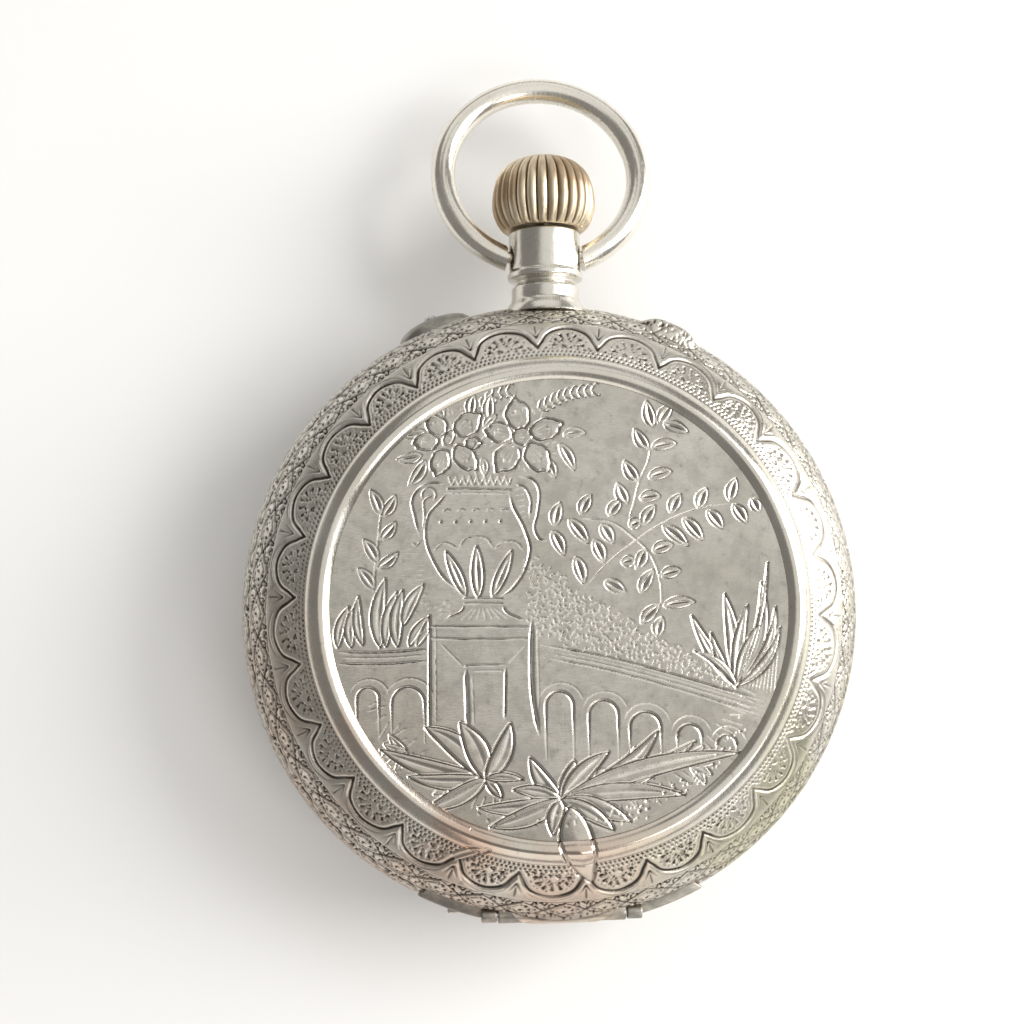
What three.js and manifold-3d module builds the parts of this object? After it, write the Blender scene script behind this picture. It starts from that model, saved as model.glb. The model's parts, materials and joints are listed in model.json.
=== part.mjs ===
// A silver open-face fob watch with a hinged engraved back, a dust cover, a fluted winding crown, a pin for
// setting the hands and a swinging bow, with its cylinder-escapement movement.
// Millimetres, +Z up. The watch lies on its crystal: the crystal's flat face is at z = 0, the back cover is
// on top and the crown points to +Y. Seen from above, 3 o'clock on the dial is towards -X.
import * as THREE from "three";
import { mergeVertices } from "three/addons/utils/BufferGeometryUtils.js";
import Module from "manifold-3d";

const wasm = await Module();
wasm.setup();

// ---------------------------------------------------------------- driving dimensions

const DEG = Math.PI / 180;

// case
const CASE_RADIUS = 17.0;
const BAND_FRONT = 3.45; // z of the band's front face, where the bezel meets it
const BAND_BACK = 8.05; // z of the band's rear face, where the back cover meets it
const BORE_RADIUS = 14.45; // the band's inside
const DISC_RADIUS = 12.1; // the engraved centre of the back cover, inside its rolled ring
const BACK_TOP = 11.4; // highest point of the back cover
const STEM_Z = 6.2; // the pendant, crown, stem and bow are centred at this height
const HINGE_RADIUS = 0.6;
const HINGE_BORE = 0.32;
const HINGE_PIN_RADIUS = 0.25;
const REAR_HINGE = { y: -16.25, z: BAND_BACK, halfLength: 7.85 };
const FRONT_HINGE = { y: -16.15, z: BAND_FRONT - 0.05, halfLength: 6.0 };
const KNUCKLE_GAP = 0.1;
const HINGE_ROOM = 0.16; // how far a wall stands back from a turning knuckle

// pendant, crown and bow
const PENDANT_TOP = 21.2;
const CROWN_TOP = 25.6;
const FLUTES = 28;
const FLUTE_DEPTH = 0.16;
const BOW_PIVOT_Y = 19.85;
const BOW_RADIUS = 5.6; // of the wire's centreline
const BOW_WIRE = 0.71;
const BOW_CENTRE = 5.1; // from the pivot to the ring's centre
const BOW_DROOP = -13 * DEG; // at rest it leans a little towards the surface

// setting pin
const PIN_ANGLE = 111.6 * DEG; // round the case from +X
const PIN_Z = 6.0;

// movement
const PLATE_RADIUS = 14.1;
const PLATE_BOTTOM = 3.9;
const PLATE_TOP = 5.2;
const COCK_BOTTOM = 7.0;
const COCK_TOP = 8.0;
const BRIDGE_BOTTOM = 6.8;
const BRIDGE_TOP = 7.5;
const PIVOT_RADIUS = 0.12;
const PIVOT_HOLE = 0.2;
const ARBOR_RADIUS = 0.24;

// tooth counts and modules
const BARREL_TEETH = 72;
const CENTRE_PINION = 9;
const CENTRE_TEETH = 60;
const THIRD_PINION = 8;
const THIRD_TEETH = 56;
const FOURTH_PINION = 7;
const FOURTH_TEETH = 60;
const ESCAPE_PINION = 6;
const ESCAPE_TEETH = 15;
const RATCHET_TEETH = 40;
const CROWN_WHEEL_TEETH = 30;
const WINDING_TEETH = 17;
const CANNON_LEAVES = 10;
const MINUTE_TEETH = 30;
const MINUTE_LEAVES = 8;
const HOUR_TEETH = 32;
const SETTING_TEETH = 46;
const BARREL_MODULE = 0.16;
const CENTRE_MODULE = 0.137;
const THIRD_MODULE = 0.128;
const FOURTH_MODULE = 0.11;
const WINDING_MODULE = 0.16;
const MOTION_MODULE = 0.14;

// round parts are drawn with these numbers of sides
const CASE_SIDES = 32;
const WHEEL_SIDES = 24;
const SMALL_SIDES = 12;
const HOLE_SIDES = 6;

// ---------------------------------------------------------------- where the wheels stand

const from = (start, distance, degrees) => ({
  x: start.x + distance * Math.cos(degrees * DEG),
  y: start.y + distance * Math.sin(degrees * DEG),
});
const spacing = (module, a, b) => (module * (a + b)) / 2;
const bearing = (a, b) => Math.atan2(b.y - a.y, b.x - a.x);

const CENTRE = { x: 0, y: 0 };
const BARREL = from(CENTRE, spacing(BARREL_MODULE, BARREL_TEETH, CENTRE_PINION), 123.7);
const THIRD = from(CENTRE, spacing(CENTRE_MODULE, CENTRE_TEETH, THIRD_PINION), -16);
const FOURTH = from(THIRD, spacing(THIRD_MODULE, THIRD_TEETH, FOURTH_PINION), -75);
const ESCAPE = from(FOURTH, spacing(FOURTH_MODULE, FOURTH_TEETH, ESCAPE_PINION), 202);
const ESCAPE_RADIUS = 2.3;
const CYLINDER_RADIUS = 0.32;
const BALANCE = from(ESCAPE, ESCAPE_RADIUS + CYLINDER_RADIUS + 0.06, 200);
const BALANCE_RADIUS = 4.5;
const WINDING_SPAN = spacing(WINDING_MODULE, RATCHET_TEETH, CROWN_WHEEL_TEETH);
const CROWN_WHEEL = { x: 0, y: BARREL.y + Math.sqrt(WINDING_SPAN ** 2 - BARREL.x ** 2) };
const MINUTE = from(CENTRE, spacing(MOTION_MODULE, CANNON_LEAVES, MINUTE_TEETH), 75);
const SETTING_SPAN = spacing(MOTION_MODULE, MINUTE_TEETH, SETTING_TEETH);
const SETTING_WHEEL = { x: 0, y: MINUTE.y + Math.sqrt(SETTING_SPAN ** 2 - MINUTE.x ** 2) };
const CLICK = { x: -8.6, y: 5.85 };
const SETTING_PIVOT = { x: -3.4, y: 11.9 };

// the feet of the cocks stand near the plate's rim
const CENTRE_FOOT = { x: -11.7, y: -2.6 };
const THIRD_FOOT = { x: 11.8, y: 1.6 };
const FOURTH_FOOT = { x: 11.0, y: -4.6 };
const ESCAPE_FOOT = { x: 5.4, y: -10.7 };
const BALANCE_FOOT = { x: -8.9, y: -8.3 };
const BRIDGE_SCREWS = [
  { x: 9.6, y: 8.0 },
  { x: -11.7, y: 5.0 },
  { x: -8.0, y: 10.0 },
];
const CASE_SCREWS = [from(CENTRE, 13.72, 20.5), from(CENTRE, 13.72, 216)];
const DIAL_FEET = [from(CENTRE, 12.4, 58), from(CENTRE, 12.4, 235)];

// ---------------------------------------------------------------- solids

function solidOf(geometry) {
  const loose = geometry.index ? geometry.toNonIndexed() : geometry;
  const bare = new THREE.BufferGeometry();
  bare.setAttribute("position", loose.getAttribute("position").clone());
  const merged = mergeVertices(bare, 1e-4);
  const made = (triVerts) =>
    new wasm.Manifold(
      new wasm.Mesh({ numProp: 3, vertProperties: merged.attributes.position.array, triVerts }),
    );
  const faces = new Uint32Array(merged.index.array);
  const solid = made(faces);
  return solid.volume() >= 0 ? solid : made(faces.reverse());
}

function geometryOf(solid) {
  const mesh = solid.getMesh();
  const geometry = new THREE.BufferGeometry();
  geometry.setAttribute("position", new THREE.BufferAttribute(new Float32Array(mesh.vertProperties), 3));
  geometry.setIndex(new THREE.BufferAttribute(new Uint32Array(mesh.triVerts), 1));
  return geometry;
}

const joined = (...solids) => solids.reduce((sum, next) => sum.add(next));
const cut = (body, ...tools) => tools.reduce((rest, tool) => rest.subtract(tool), body);

// A solid of revolution round Z, or round Y, from an outline of [radius, height] points.
function turned(outline, sides, axis = "z") {
  const points = outline.map(([r, h]) => new THREE.Vector2(r, h));
  const onAxis = outline[0][0] === 0 && outline.at(-1)[0] === 0;
  if (!onAxis) points.push(points[0].clone());
  const geometry = new THREE.LatheGeometry(points, sides);
  if (axis === "z") geometry.rotateX(Math.PI / 2);
  return solidOf(geometry);
}

const disc = (radius, bottom, top, at = CENTRE, sides = SMALL_SIDES) =>
  turned([[0, bottom], [radius, bottom], [radius, top], [0, top]], sides).translate([at.x, at.y, 0]);

const ring = (inner, outer, bottom, top, at = CENTRE, sides = SMALL_SIDES) =>
  turned([[inner, bottom], [outer, bottom], [outer, top], [inner, top]], sides).translate([at.x, at.y, 0]);

// A rod between two points of one axis.
function rod(radius, start, end, axis, at, sides = SMALL_SIDES) {
  const geometry = new THREE.CylinderGeometry(radius, radius, end - start, sides);
  geometry.translate(0, (start + end) / 2, 0);
  if (axis === "x") geometry.rotateZ(-Math.PI / 2);
  return solidOf(geometry).translate(at);
}

function box(low, high) {
  const size = high.map((value, i) => value - low[i]);
  const geometry = new THREE.BoxGeometry(...size);
  geometry.translate(...high.map((value, i) => (value + low[i]) / 2));
  return solidOf(geometry);
}

function slab(shape, bottom, top, curveSegments = 8) {
  const geometry = new THREE.ExtrudeGeometry(shape, {
    depth: top - bottom,
    bevelEnabled: false,
    curveSegments,
  });
  geometry.translate(0, 0, bottom);
  return solidOf(geometry);
}

// The outline of two round ends joined by tangents: the plan of a cock.
function tapered(a, ra, b, rb) {
  const along = bearing(a, b);
  const lean = Math.acos((ra - rb) / Math.hypot(b.x - a.x, b.y - a.y));
  const shape = new THREE.Shape();
  shape.absarc(a.x, a.y, ra, along + lean, along - lean + 2 * Math.PI, false);
  shape.absarc(b.x, b.y, rb, along - lean, along + lean, false);
  return shape;
}

// ---------------------------------------------------------------- teeth

// A toothed outline, with a tooth centred on the bearing `phase`. Wheels have pointed teeth and pinions have
// flat leaves.
function toothed(teeth, module, phase, { tip = 1.0, root = 1.25, share = 0.52, flat = 0 } = {}) {
  const pitch = (teeth * module) / 2;
  const step = (2 * Math.PI) / teeth;
  const outer = pitch + tip * module;
  const inner = pitch - root * module;
  const points = [];
  for (let i = 0; i < teeth; i++) {
    const middle = phase + i * step;
    const offsets = flat
      ? [[inner, -share / 2], [outer, -flat / 2], [outer, flat / 2], [inner, share / 2]]
      : [[inner, -share / 2], [outer, 0], [inner, share / 2]];
    for (const [radius, offset] of offsets) {
      const angle = middle + offset * step;
      points.push(new THREE.Vector2(radius * Math.cos(angle), radius * Math.sin(angle)));
    }
  }
  return new THREE.Shape(points);
}

const LEAF = { tip: 0.75, root: 1.15, share: 0.34, flat: 0.16 };

// Openings between a wheel's arms.
function crossings(shape, arms, inner, outer, armWidth) {
  for (let i = 0; i < arms; i++) {
    const start = (i * 2 * Math.PI) / arms;
    const end = start + (2 * Math.PI) / arms;
    const hole = new THREE.Path();
    const innerLean = armWidth / 2 / inner;
    const outerLean = armWidth / 2 / outer;
    const steps = 3;
    for (let k = 0; k <= steps; k++) {
      const a = start + outerLean + ((end - start - 2 * outerLean) * k) / steps;
      if (k === 0) hole.moveTo(outer * Math.cos(a), outer * Math.sin(a));
      else hole.lineTo(outer * Math.cos(a), outer * Math.sin(a));
    }
    for (const a of [end - innerLean, start + innerLean]) {
      hole.lineTo(inner * Math.cos(a), inner * Math.sin(a));
    }
    hole.closePath();
    shape.holes.push(hole);
  }
  return shape;
}

const placed = (solid, at) => solid.translate([at.x, at.y, 0]);

// A train wheel with its pinion and arbor. Each is { ... , bottom, top } in z.
function trainWheel({ at, wheel, pinion, arms = 4, arbor }) {
  const radius = (wheel.teeth * wheel.module) / 2;
  const outline = crossings(toothed(wheel.teeth, wheel.module, wheel.phase), arms, 0.9, radius - 0.55, 0.4);
  const pieces = [
    slab(outline, wheel.bottom, wheel.top),
    slab(toothed(pinion.leaves, pinion.module, pinion.phase, LEAF), pinion.bottom, pinion.top),
    disc(ARBOR_RADIUS, arbor.shoulder[0], arbor.shoulder[1], CENTRE, HOLE_SIDES),
    disc(PIVOT_RADIUS, arbor.pivot[0], arbor.pivot[1], CENTRE, HOLE_SIDES),
  ];
  return placed(joined(...pieces), at);
}

// ---------------------------------------------------------------- materials and the scene

const METAL = {
  silver: { color: 0xc9c5bb, roughness: 0.3, metalness: 1 },
  gilt: { color: 0xb08a5a, roughness: 0.35, metalness: 1 },
  brass: { color: 0xc9a860, roughness: 0.35, metalness: 1 },
  nickel: { color: 0xbdbab2, roughness: 0.35, metalness: 1 },
  steel: { color: 0x8f939a, roughness: 0.25, metalness: 1 },
  blueSteel: { color: 0x27376b, roughness: 0.25, metalness: 1 },
  enamel: { color: 0xf2efe6, roughness: 0.15, metalness: 0 },
  glass: { color: 0xe8eef0, roughness: 0.03, metalness: 0, transparent: true, opacity: 0.35 },
  ruby: { color: 0x9a1f38, roughness: 0.1, metalness: 0 },
};
const materials = Object.fromEntries(
  Object.entries(METAL).map(([name, values]) => [name, new THREE.MeshStandardMaterial(values)]),
);

const watch = new THREE.Group();
const caseGroup = new THREE.Group();
const movement = new THREE.Group();
const dialSide = new THREE.Group();
watch.add(caseGroup, movement, dialSide);

function addPart(group, name, solid, material) {
  const mesh = new THREE.Mesh(geometryOf(solid), material);
  mesh.name = name;
  group.add(mesh);
  return mesh;
}

// ---------------------------------------------------------------- hinges

// A barrel of a hinge along X, with a bore for its pin.
function knuckle(hinge, start, end) {
  const at = [0, hinge.y, hinge.z];
  return rod(HINGE_RADIUS, start, end, "x", at, SMALL_SIDES);
}
const pinBore = (hinge) =>
  rod(HINGE_BORE, -hinge.halfLength - 1, hinge.halfLength + 1, "x", [0, hinge.y, hinge.z], SMALL_SIDES);
const knuckleRoom = (hinge, start, end) =>
  rod(HINGE_RADIUS + HINGE_ROOM, start, end, "x", [0, hinge.y, hinge.z], SMALL_SIDES);
const hingePin = (hinge) => {
  const half = hinge.halfLength - 0.05;
  return rod(HINGE_PIN_RADIUS, -half, half, "x", [0, hinge.y, hinge.z], SMALL_SIDES);
};

// Along the rear hinge: band, cover, dust cover, cover, band.
const REAR_SPLITS = { cover: 5.25, cuvette: 2.15 };
const FRONT_SPLIT = 2.35;
const halfGap = KNUCKLE_GAP / 2;

// ---------------------------------------------------------------- case band

function caseBand() {
  const outline = [
    [15.15, 3.0], [15.15, BAND_FRONT], [16.35, BAND_FRONT], [16.8, 4.3], [CASE_RADIUS, 5.2],
    [CASE_RADIUS, 6.3], [16.85, 7.2], [16.45, BAND_BACK], [14.85, BAND_BACK], [14.85, 8.45],
    [BORE_RADIUS, 8.45], [BORE_RADIUS, 5.15], [14.22, 5.15], [14.22, 4.4], [BORE_RADIUS, 4.4],
    [BORE_RADIUS, 3.0],
  ];
  const shell = turned(outline, CASE_SIDES);
  const rear = REAR_HINGE;
  const front = FRONT_HINGE;
  const bulk = joined(
    shell,
    box([-rear.halfLength, rear.y - 0.55, 6.7], [rear.halfLength, -14.8, 7.4]),
    box([-front.halfLength, front.y - 0.45, 4.05], [front.halfLength, -14.9, 4.6]),
  );
  const cleared = cut(
    bulk,
    knuckleRoom(rear, -REAR_SPLITS.cover - halfGap, REAR_SPLITS.cover + halfGap),
    knuckleRoom(front, -FRONT_SPLIT - halfGap, FRONT_SPLIT + halfGap),
  );
  const ends = [-1, 1].flatMap((side) => {
    const span = (a, b) => [Math.min(side * a, side * b), Math.max(side * a, side * b)];
    const [rearStart, rearEnd] = span(REAR_SPLITS.cover + halfGap, rear.halfLength);
    const [frontStart, frontEnd] = span(FRONT_SPLIT + halfGap, front.halfLength);
    return [
      knuckle(rear, rearStart, rearEnd),
      box([rearStart, rear.y - 0.55, 7.1], [rearEnd, rear.y + 0.55, rear.z]),
      knuckle(front, frontStart, frontEnd),
      box([frontStart, front.y - 0.4, front.z], [frontEnd, front.y + 0.5, 4.3]),
    ];
  });
  const inside = turned([[0, 5.3], [BORE_RADIUS, 5.3], [BORE_RADIUS, 9.5], [0, 9.5]], CASE_SIDES);
  return cut(
    joined(cleared, ...ends),
    inside,
    pinBore(rear),
    pinBore(front),
    rod(1.0, 13.5, 18, "y", [0, 0, STEM_Z]),
    rod(0.55, 13.5, 18.5, "y", [0, 0, 0]).rotate([0, 0, PIN_ANGLE / DEG - 90]).translate([0, 0, PIN_Z]),
  );
}

// ---------------------------------------------------------------- back cover, dust cover, bezel, crystal

function backCover() {
  const outline = [
    [0, BACK_TOP], [8, 11.32], [DISC_RADIUS, 11.15], [12.3, 11.33], [12.6, BACK_TOP], [12.9, 11.25],
    [13.0, 11.0], [14.1, 10.5], [15.2, 9.78], [16.0, 8.98], [16.45, 8.13], [15.75, 8.13],
    [15.7, 8.7], [15.1, 9.3], [14.0, 9.98], [12.6, 10.5], [0, 10.85],
  ];
  const hinge = REAR_HINGE;
  const { cover, cuvette } = REAR_SPLITS;
  const webs = [-1, 1].map((side) => {
    const ends = [side * (cuvette + halfGap), side * (cover - halfGap)];
    const [start, end] = [Math.min(...ends), Math.max(...ends)];
    return joined(
      knuckle(hinge, start, end),
      box([start, hinge.y, 8.2], [end, -15.25, 8.6]),
      box([start, -15.9, 8.2], [end, -15.25, 9.5]),
    );
  });
  const lipAngle = 66.4 * DEG; // the nail lip, right of the pendant
  const lip = turned([[0, 8.13], [1, 8.13], [1, 8.4], [0.5, 8.7], [0, 8.8]], SMALL_SIDES)
    .scale([0.8, 2.65, 1])
    .rotate([0, 0, lipAngle / DEG])
    .translate([16.1 * Math.cos(lipAngle), 16.1 * Math.sin(lipAngle), 0]);
  const shell = cut(
    joined(turned(outline, CASE_SIDES), lip),
    box([-hinge.halfLength - 0.15, -17.6, 7], [hinge.halfLength + 0.15, hinge.y + 0.74, 12]),
    box([-cuvette, -17.6, 7], [cuvette, -15.2, 8.9]),
    turned([[0, 7], [15.7, 7], [15.7, 8.7], [0, 8.7]], CASE_SIDES),
  );
  return cut(joined(shell, ...webs), pinBore(hinge));
}

function dustCover() {
  const outline = [
    [0, 9.5], [8, 9.38], [13.3, 9.12], [14.9, 8.92], [15.25, 8.7], [15.3, 8.15], [15.0, 8.15],
    [14.95, 8.58], [13.2, 8.85], [8, 9.1], [0, 9.2],
  ];
  const hinge = REAR_HINGE;
  const half = REAR_SPLITS.cuvette - halfGap;
  const arm = joined(
    knuckle(hinge, -half, half),
    box([-half, hinge.y, 8.2], [half, -15.1, 8.55]),
  );
  return cut(joined(turned(outline, CASE_SIDES), arm), pinBore(hinge));
}

function bezel() {
  const outline = [
    [12.3, 0.5], [12.9, 0.35], [14.0, 0.75], [15.2, 1.7], [16.0, 2.7], [16.25, 3.38], [15.3, 3.38],
    [15.3, 2.8], [14.2, 2.2], [12.6, 1.6], [11.8, 1.5], [11.8, 1.2], [12.3, 1.2],
  ];
  const hinge = FRONT_HINGE;
  const half = FRONT_SPLIT - halfGap;
  const lip = box([-2.0, 15.7, 2.75], [2.0, 16.5, 3.3]);
  const shell = cut(
    joined(turned(outline, CASE_SIDES), lip),
    knuckleRoom(hinge, -hinge.halfLength - 0.3, -FRONT_SPLIT),
    knuckleRoom(hinge, FRONT_SPLIT, hinge.halfLength + 0.3),
  );
  const own = joined(
    knuckle(hinge, -half, half),
    box([-half, hinge.y - 0.35, 2.9], [half, -15.4, 3.3]),
  );
  return cut(joined(shell, own), pinBore(hinge));
}

const crystal = () =>
  turned([[0, 0], [10.7, 0], [11.9, 0.55], [12.2, 0.8], [12.2, 1.1], [0, 1.1]], CASE_SIDES);

// ---------------------------------------------------------------- pendant, crown, stem, bow

function pendant() {
  const outline = [
    [0.75, 16.6], [2.1, 16.6], [1.9, 17.4], [1.9, 18.1], [1.6, 18.25], [1.6, 18.4], [2.1, 18.5],
    [2.1, 18.85], [2.0, 18.95], [2.0, PENDANT_TOP], [0.75, PENDANT_TOP],
  ];
  return cut(
    turned(outline, 20, "y").translate([0, 0, STEM_Z]),
    turned([[0, 0], [CASE_RADIUS + 0.03, 0], [CASE_RADIUS + 0.03, 12], [0, 12]], CASE_SIDES),
    rod(0.42, -3, 3, "x", [0, BOW_PIVOT_Y, STEM_Z], SMALL_SIDES),
  );
}

function crown() {
  const outline = [
    [0, 24.0], [0.62, 24.0], [0.62, 21.32], [2.2, 21.32], [2.75, 22.0], [2.9, 22.9], [2.6, 24.4],
    [1.6, 25.35], [0, CROWN_TOP],
  ];
  const points = outline.map(([r, h]) => new THREE.Vector2(r, h));
  const geometry = new THREE.LatheGeometry(points, 2 * FLUTES);
  const position = geometry.getAttribute("position");
  for (let i = 0; i < position.count; i++) {
    const side = Math.floor(i / points.length);
    const radius = Math.hypot(position.getX(i), position.getZ(i));
    if (side % 2 === 0 || radius < 1.5) continue; // odd sides lie in a flute
    const scale = (radius - FLUTE_DEPTH) / radius;
    position.setX(i, position.getX(i) * scale);
    position.setZ(i, position.getZ(i) * scale);
  }
  return solidOf(geometry).translate([0, 0, STEM_Z]);
}

const stem = () =>
  joined(
    rod(0.5, 13.0, 23.85, "y", [0, 0, STEM_Z]),
    box([-0.3, 11.0, STEM_Z - 0.3], [0.3, 13.2, STEM_Z + 0.3]),
  );

class BowLine extends THREE.Curve {
  getPoint(t, target = new THREE.Vector3()) {
    const open = Math.asin(2.5 / BOW_RADIUS);
    const angle = -Math.PI / 2 + open + t * 2 * (Math.PI - open);
    return target.set(BOW_RADIUS * Math.cos(angle), BOW_CENTRE + BOW_RADIUS * Math.sin(angle), 0);
  }
}

function bow() {
  const section = new THREE.Shape();
  section.absarc(0, 0, BOW_WIRE, 0, 2 * Math.PI, false);
  const wire = new THREE.ExtrudeGeometry(section, {
    steps: 24,
    curveSegments: 4,
    extrudePath: new BowLine(),
    bevelEnabled: false,
  });
  const pivots = [-1, 1].map((side) =>
    rod(0.35, Math.min(side * 1.2, side * 2.9), Math.max(side * 1.2, side * 2.9), "x", [0, 0, 0], HOLE_SIDES),
  );
  return joined(solidOf(wire), ...pivots);
}

// ---------------------------------------------------------------- setting pin

const toPinAxis = (solid) => solid.rotate([0, 0, PIN_ANGLE / DEG - 90]).translate([0, 0, PIN_Z]);

function pinGuard() {
  const lens = solidOf(new THREE.SphereGeometry(1, 14, 8)).scale([2.15, 0.75, 1.15]).translate([0, 16.8, 0]);
  return cut(
    toPinAxis(lens),
    turned([[0, 0], [CASE_RADIUS + 0.03, 0], [CASE_RADIUS + 0.03, 12], [0, 12]], CASE_SIDES),
    toPinAxis(rod(0.5, 13, 19, "y", [0, 0, 0])),
  );
}

const settingPin = () =>
  toPinAxis(turned([[0, 13.95], [0.42, 13.95], [0.42, 17.6], [0.25, 17.75], [0, 17.8]], SMALL_SIDES, "y"));

function settingLever() {
  const pad = { x: -5.05, y: 12.75 };
  const tip = { x: -1.95, y: 11.7 };
  return cut(
    joined(
      slab(tapered(SETTING_PIVOT, 0.5, pad, 0.2), 5.3, 5.65, 4),
      slab(tapered(SETTING_PIVOT, 0.5, tip, 0.2), 5.3, 5.65, 4),
      disc(0.2, 5.3, 5.95, pad, HOLE_SIDES),
    ),
    disc(0.28, 5, 6, SETTING_PIVOT, HOLE_SIDES),
  );
}

// ---------------------------------------------------------------- plate, bridge and cocks

const screwHole = (at) => disc(0.38, 3, 9, at, HOLE_SIDES);
const pivotHole = (at, radius = PIVOT_HOLE) => disc(radius, 3, 9, at, HOLE_SIDES);

function mainplate() {
  const stemBlock = cut(
    box([-1.6, 13.1, PLATE_TOP - 0.4], [1.6, 13.9, BRIDGE_BOTTOM - 0.05]),
    rod(0.56, 12.5, 14.5, "y", [0, 0, STEM_Z]),
  );
  const post = disc(0.22, PLATE_TOP - 0.1, 5.75, SETTING_PIVOT, HOLE_SIDES);
  const plate = cut(
    disc(PLATE_RADIUS, PLATE_BOTTOM, PLATE_TOP, CENTRE, CASE_SIDES),
    disc(6.15, 4.75, 6, BARREL, WHEEL_SIDES),
    disc(2.6, 3, 4.5, CENTRE, WHEEL_SIDES),
    disc(2.55, 3, 4.5, MINUTE, WHEEL_SIDES),
    disc(3.7, 3, 4.5, SETTING_WHEEL, WHEEL_SIDES),
    box([-1.65, 11.95, 4.6], [1.65, 13.1, 6]),
    pivotHole(CENTRE, 0.32),
    ...[THIRD, FOURTH, ESCAPE, BALANCE].map((at) => pivotHole(at)),
    ...DIAL_FEET.map((at) => screwHole(at)),
    ...[CENTRE_FOOT, THIRD_FOOT, FOURTH_FOOT, ESCAPE_FOOT, BALANCE_FOOT].map(screwHole),
    ...[...BRIDGE_SCREWS, ...CASE_SCREWS].map(screwHole),
  );
  const wheelPosts = [MINUTE, SETTING_WHEEL].map((at) => disc(0.2, 3.95, 4.6, at, HOLE_SIDES));
  return joined(plate, stemBlock, post, ...wheelPosts);
}

function barrelBridge() {
  const edge = 13.6;
  const shape = new THREE.Shape();
  shape.absarc(0, 0, edge, 30 * DEG, 168 * DEG, false);
  shape.quadraticCurveTo(-10.6, 0.9, -7.6, 1.0);
  shape.quadraticCurveTo(-3.4, 1.2, -0.6, 2.9);
  shape.quadraticCurveTo(2.4, 4.6, 6.0, 4.9);
  shape.closePath();
  const deck = slab(shape, BRIDGE_BOTTOM, BRIDGE_TOP, 12);
  const foot = (start, end, inner) => {
    const plan = new THREE.Shape();
    plan.absarc(0, 0, edge, start * DEG, end * DEG, false);
    plan.absarc(0, 0, inner, end * DEG, start * DEG, true);
    return slab(plan, PLATE_TOP + 0.02, BRIDGE_BOTTOM + 0.2, 4);
  };
  return cut(
    joined(deck, foot(32, 76, 11.4), foot(141, 165, 12.35), foot(122, 137, 12.5)),
    ...BRIDGE_SCREWS.map(screwHole),
    disc(1.0, 6, 9, BARREL, SMALL_SIDES),
    disc(0.32, 6, 9, CROWN_WHEEL, HOLE_SIDES),
    disc(0.28, 6, 9, CLICK, HOLE_SIDES),
    box([-1.65, 11.95, 6], [1.65, 13.1, 9]),
    box([-0.85, 11.1, 6], [0.85, 12, 7.05]),
  );
}

// A cock with a round head over a pivot and a round foot on the plate.
function cock(pivot, headRadius, foot, footRadius, bottom = COCK_BOTTOM, top = COCK_TOP) {
  return cut(
    joined(
      slab(tapered(pivot, headRadius, foot, footRadius), bottom, top, 6),
      disc(footRadius, PLATE_TOP + 0.02, top, foot, SMALL_SIDES),
    ),
    pivotHole(pivot),
    screwHole(foot),
  );
}

function screw(at, headBottom, { head = 0.6, height = 0.28, length = 3.4, shank = 0.3 } = {}) {
  const slot = box([-1, -0.07, headBottom + height - 0.12], [1, 0.07, headBottom + height + 0.1]);
  const body = joined(
    disc(head, headBottom, headBottom + height, CENTRE, SMALL_SIDES),
    disc(shank, headBottom - length, headBottom + 0.1, CENTRE, HOLE_SIDES),
  );
  return placed(cut(body, slot), at);
}

// ---------------------------------------------------------------- barrel, winding work

const drumWall = 5.35;
const barrelPhase = bearing(BARREL, CENTRE);

const barrelDrum = () =>
  placed(
    cut(
      joined(
        slab(toothed(BARREL_TEETH, BARREL_MODULE, barrelPhase), 5.5, 5.95),
        disc(drumWall, 4.85, 6.05, CENTRE, WHEEL_SIDES),
      ),
      disc(drumWall - 0.3, 5.05, 7, CENTRE, WHEEL_SIDES),
      disc(0.75, 4, 7, CENTRE, SMALL_SIDES),
    ),
    BARREL,
  );

const barrelCover = () => ring(0.75, drumWall, 6.08, 6.25, BARREL, WHEEL_SIDES);

// A flat strip wound in a spiral.
function spiral(inner, outer, turns, thickness, bottom, top, stepsPerTurn = 12) {
  const steps = Math.round(turns * stepsPerTurn);
  const edge = (offset) =>
    Array.from({ length: steps + 1 }, (_, i) => {
      const angle = (i / stepsPerTurn) * 2 * Math.PI;
      const radius = inner + ((outer - inner) * i) / steps + offset;
      return new THREE.Vector2(radius * Math.cos(angle), radius * Math.sin(angle));
    });
  return slab(new THREE.Shape([...edge(thickness / 2), ...edge(-thickness / 2).reverse()]), bottom, top);
}

const mainspring = () => placed(spiral(1.5, 4.7, 4, 0.3, 5.1, 6.0), BARREL);

const barrelArbor = () =>
  placed(
    joined(
      disc(1.1, 5.12, 5.95, CENTRE, SMALL_SIDES),
      disc(0.6, 4.8, 7.55, CENTRE, SMALL_SIDES),
      box([-0.4, -0.4, 7.4], [0.4, 0.4, 7.93]),
    ),
    BARREL,
  );

const RATCHET_BOTTOM = 7.58;
const RATCHET_TOP = 7.95;
const ratchetPhase = bearing(BARREL, CROWN_WHEEL);
const ratchetWheel = () =>
  placed(
    cut(
      slab(toothed(RATCHET_TEETH, WINDING_MODULE, ratchetPhase), RATCHET_BOTTOM, RATCHET_TOP),
      box([-0.45, -0.45, 7], [0.45, 0.45, 9]),
    ),
    BARREL,
  );

// A gap of the crown wheel faces the ratchet's tooth.
const crownWheelPhase = ratchetPhase + Math.PI + Math.PI / CROWN_WHEEL_TEETH;
const crownWheel = () =>
  placed(
    cut(
      slab(toothed(CROWN_WHEEL_TEETH, WINDING_MODULE, crownWheelPhase), RATCHET_BOTTOM, RATCHET_TOP),
      disc(0.45, 7, 9, CENTRE, SMALL_SIDES),
    ),
    CROWN_WHEEL,
  );

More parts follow.
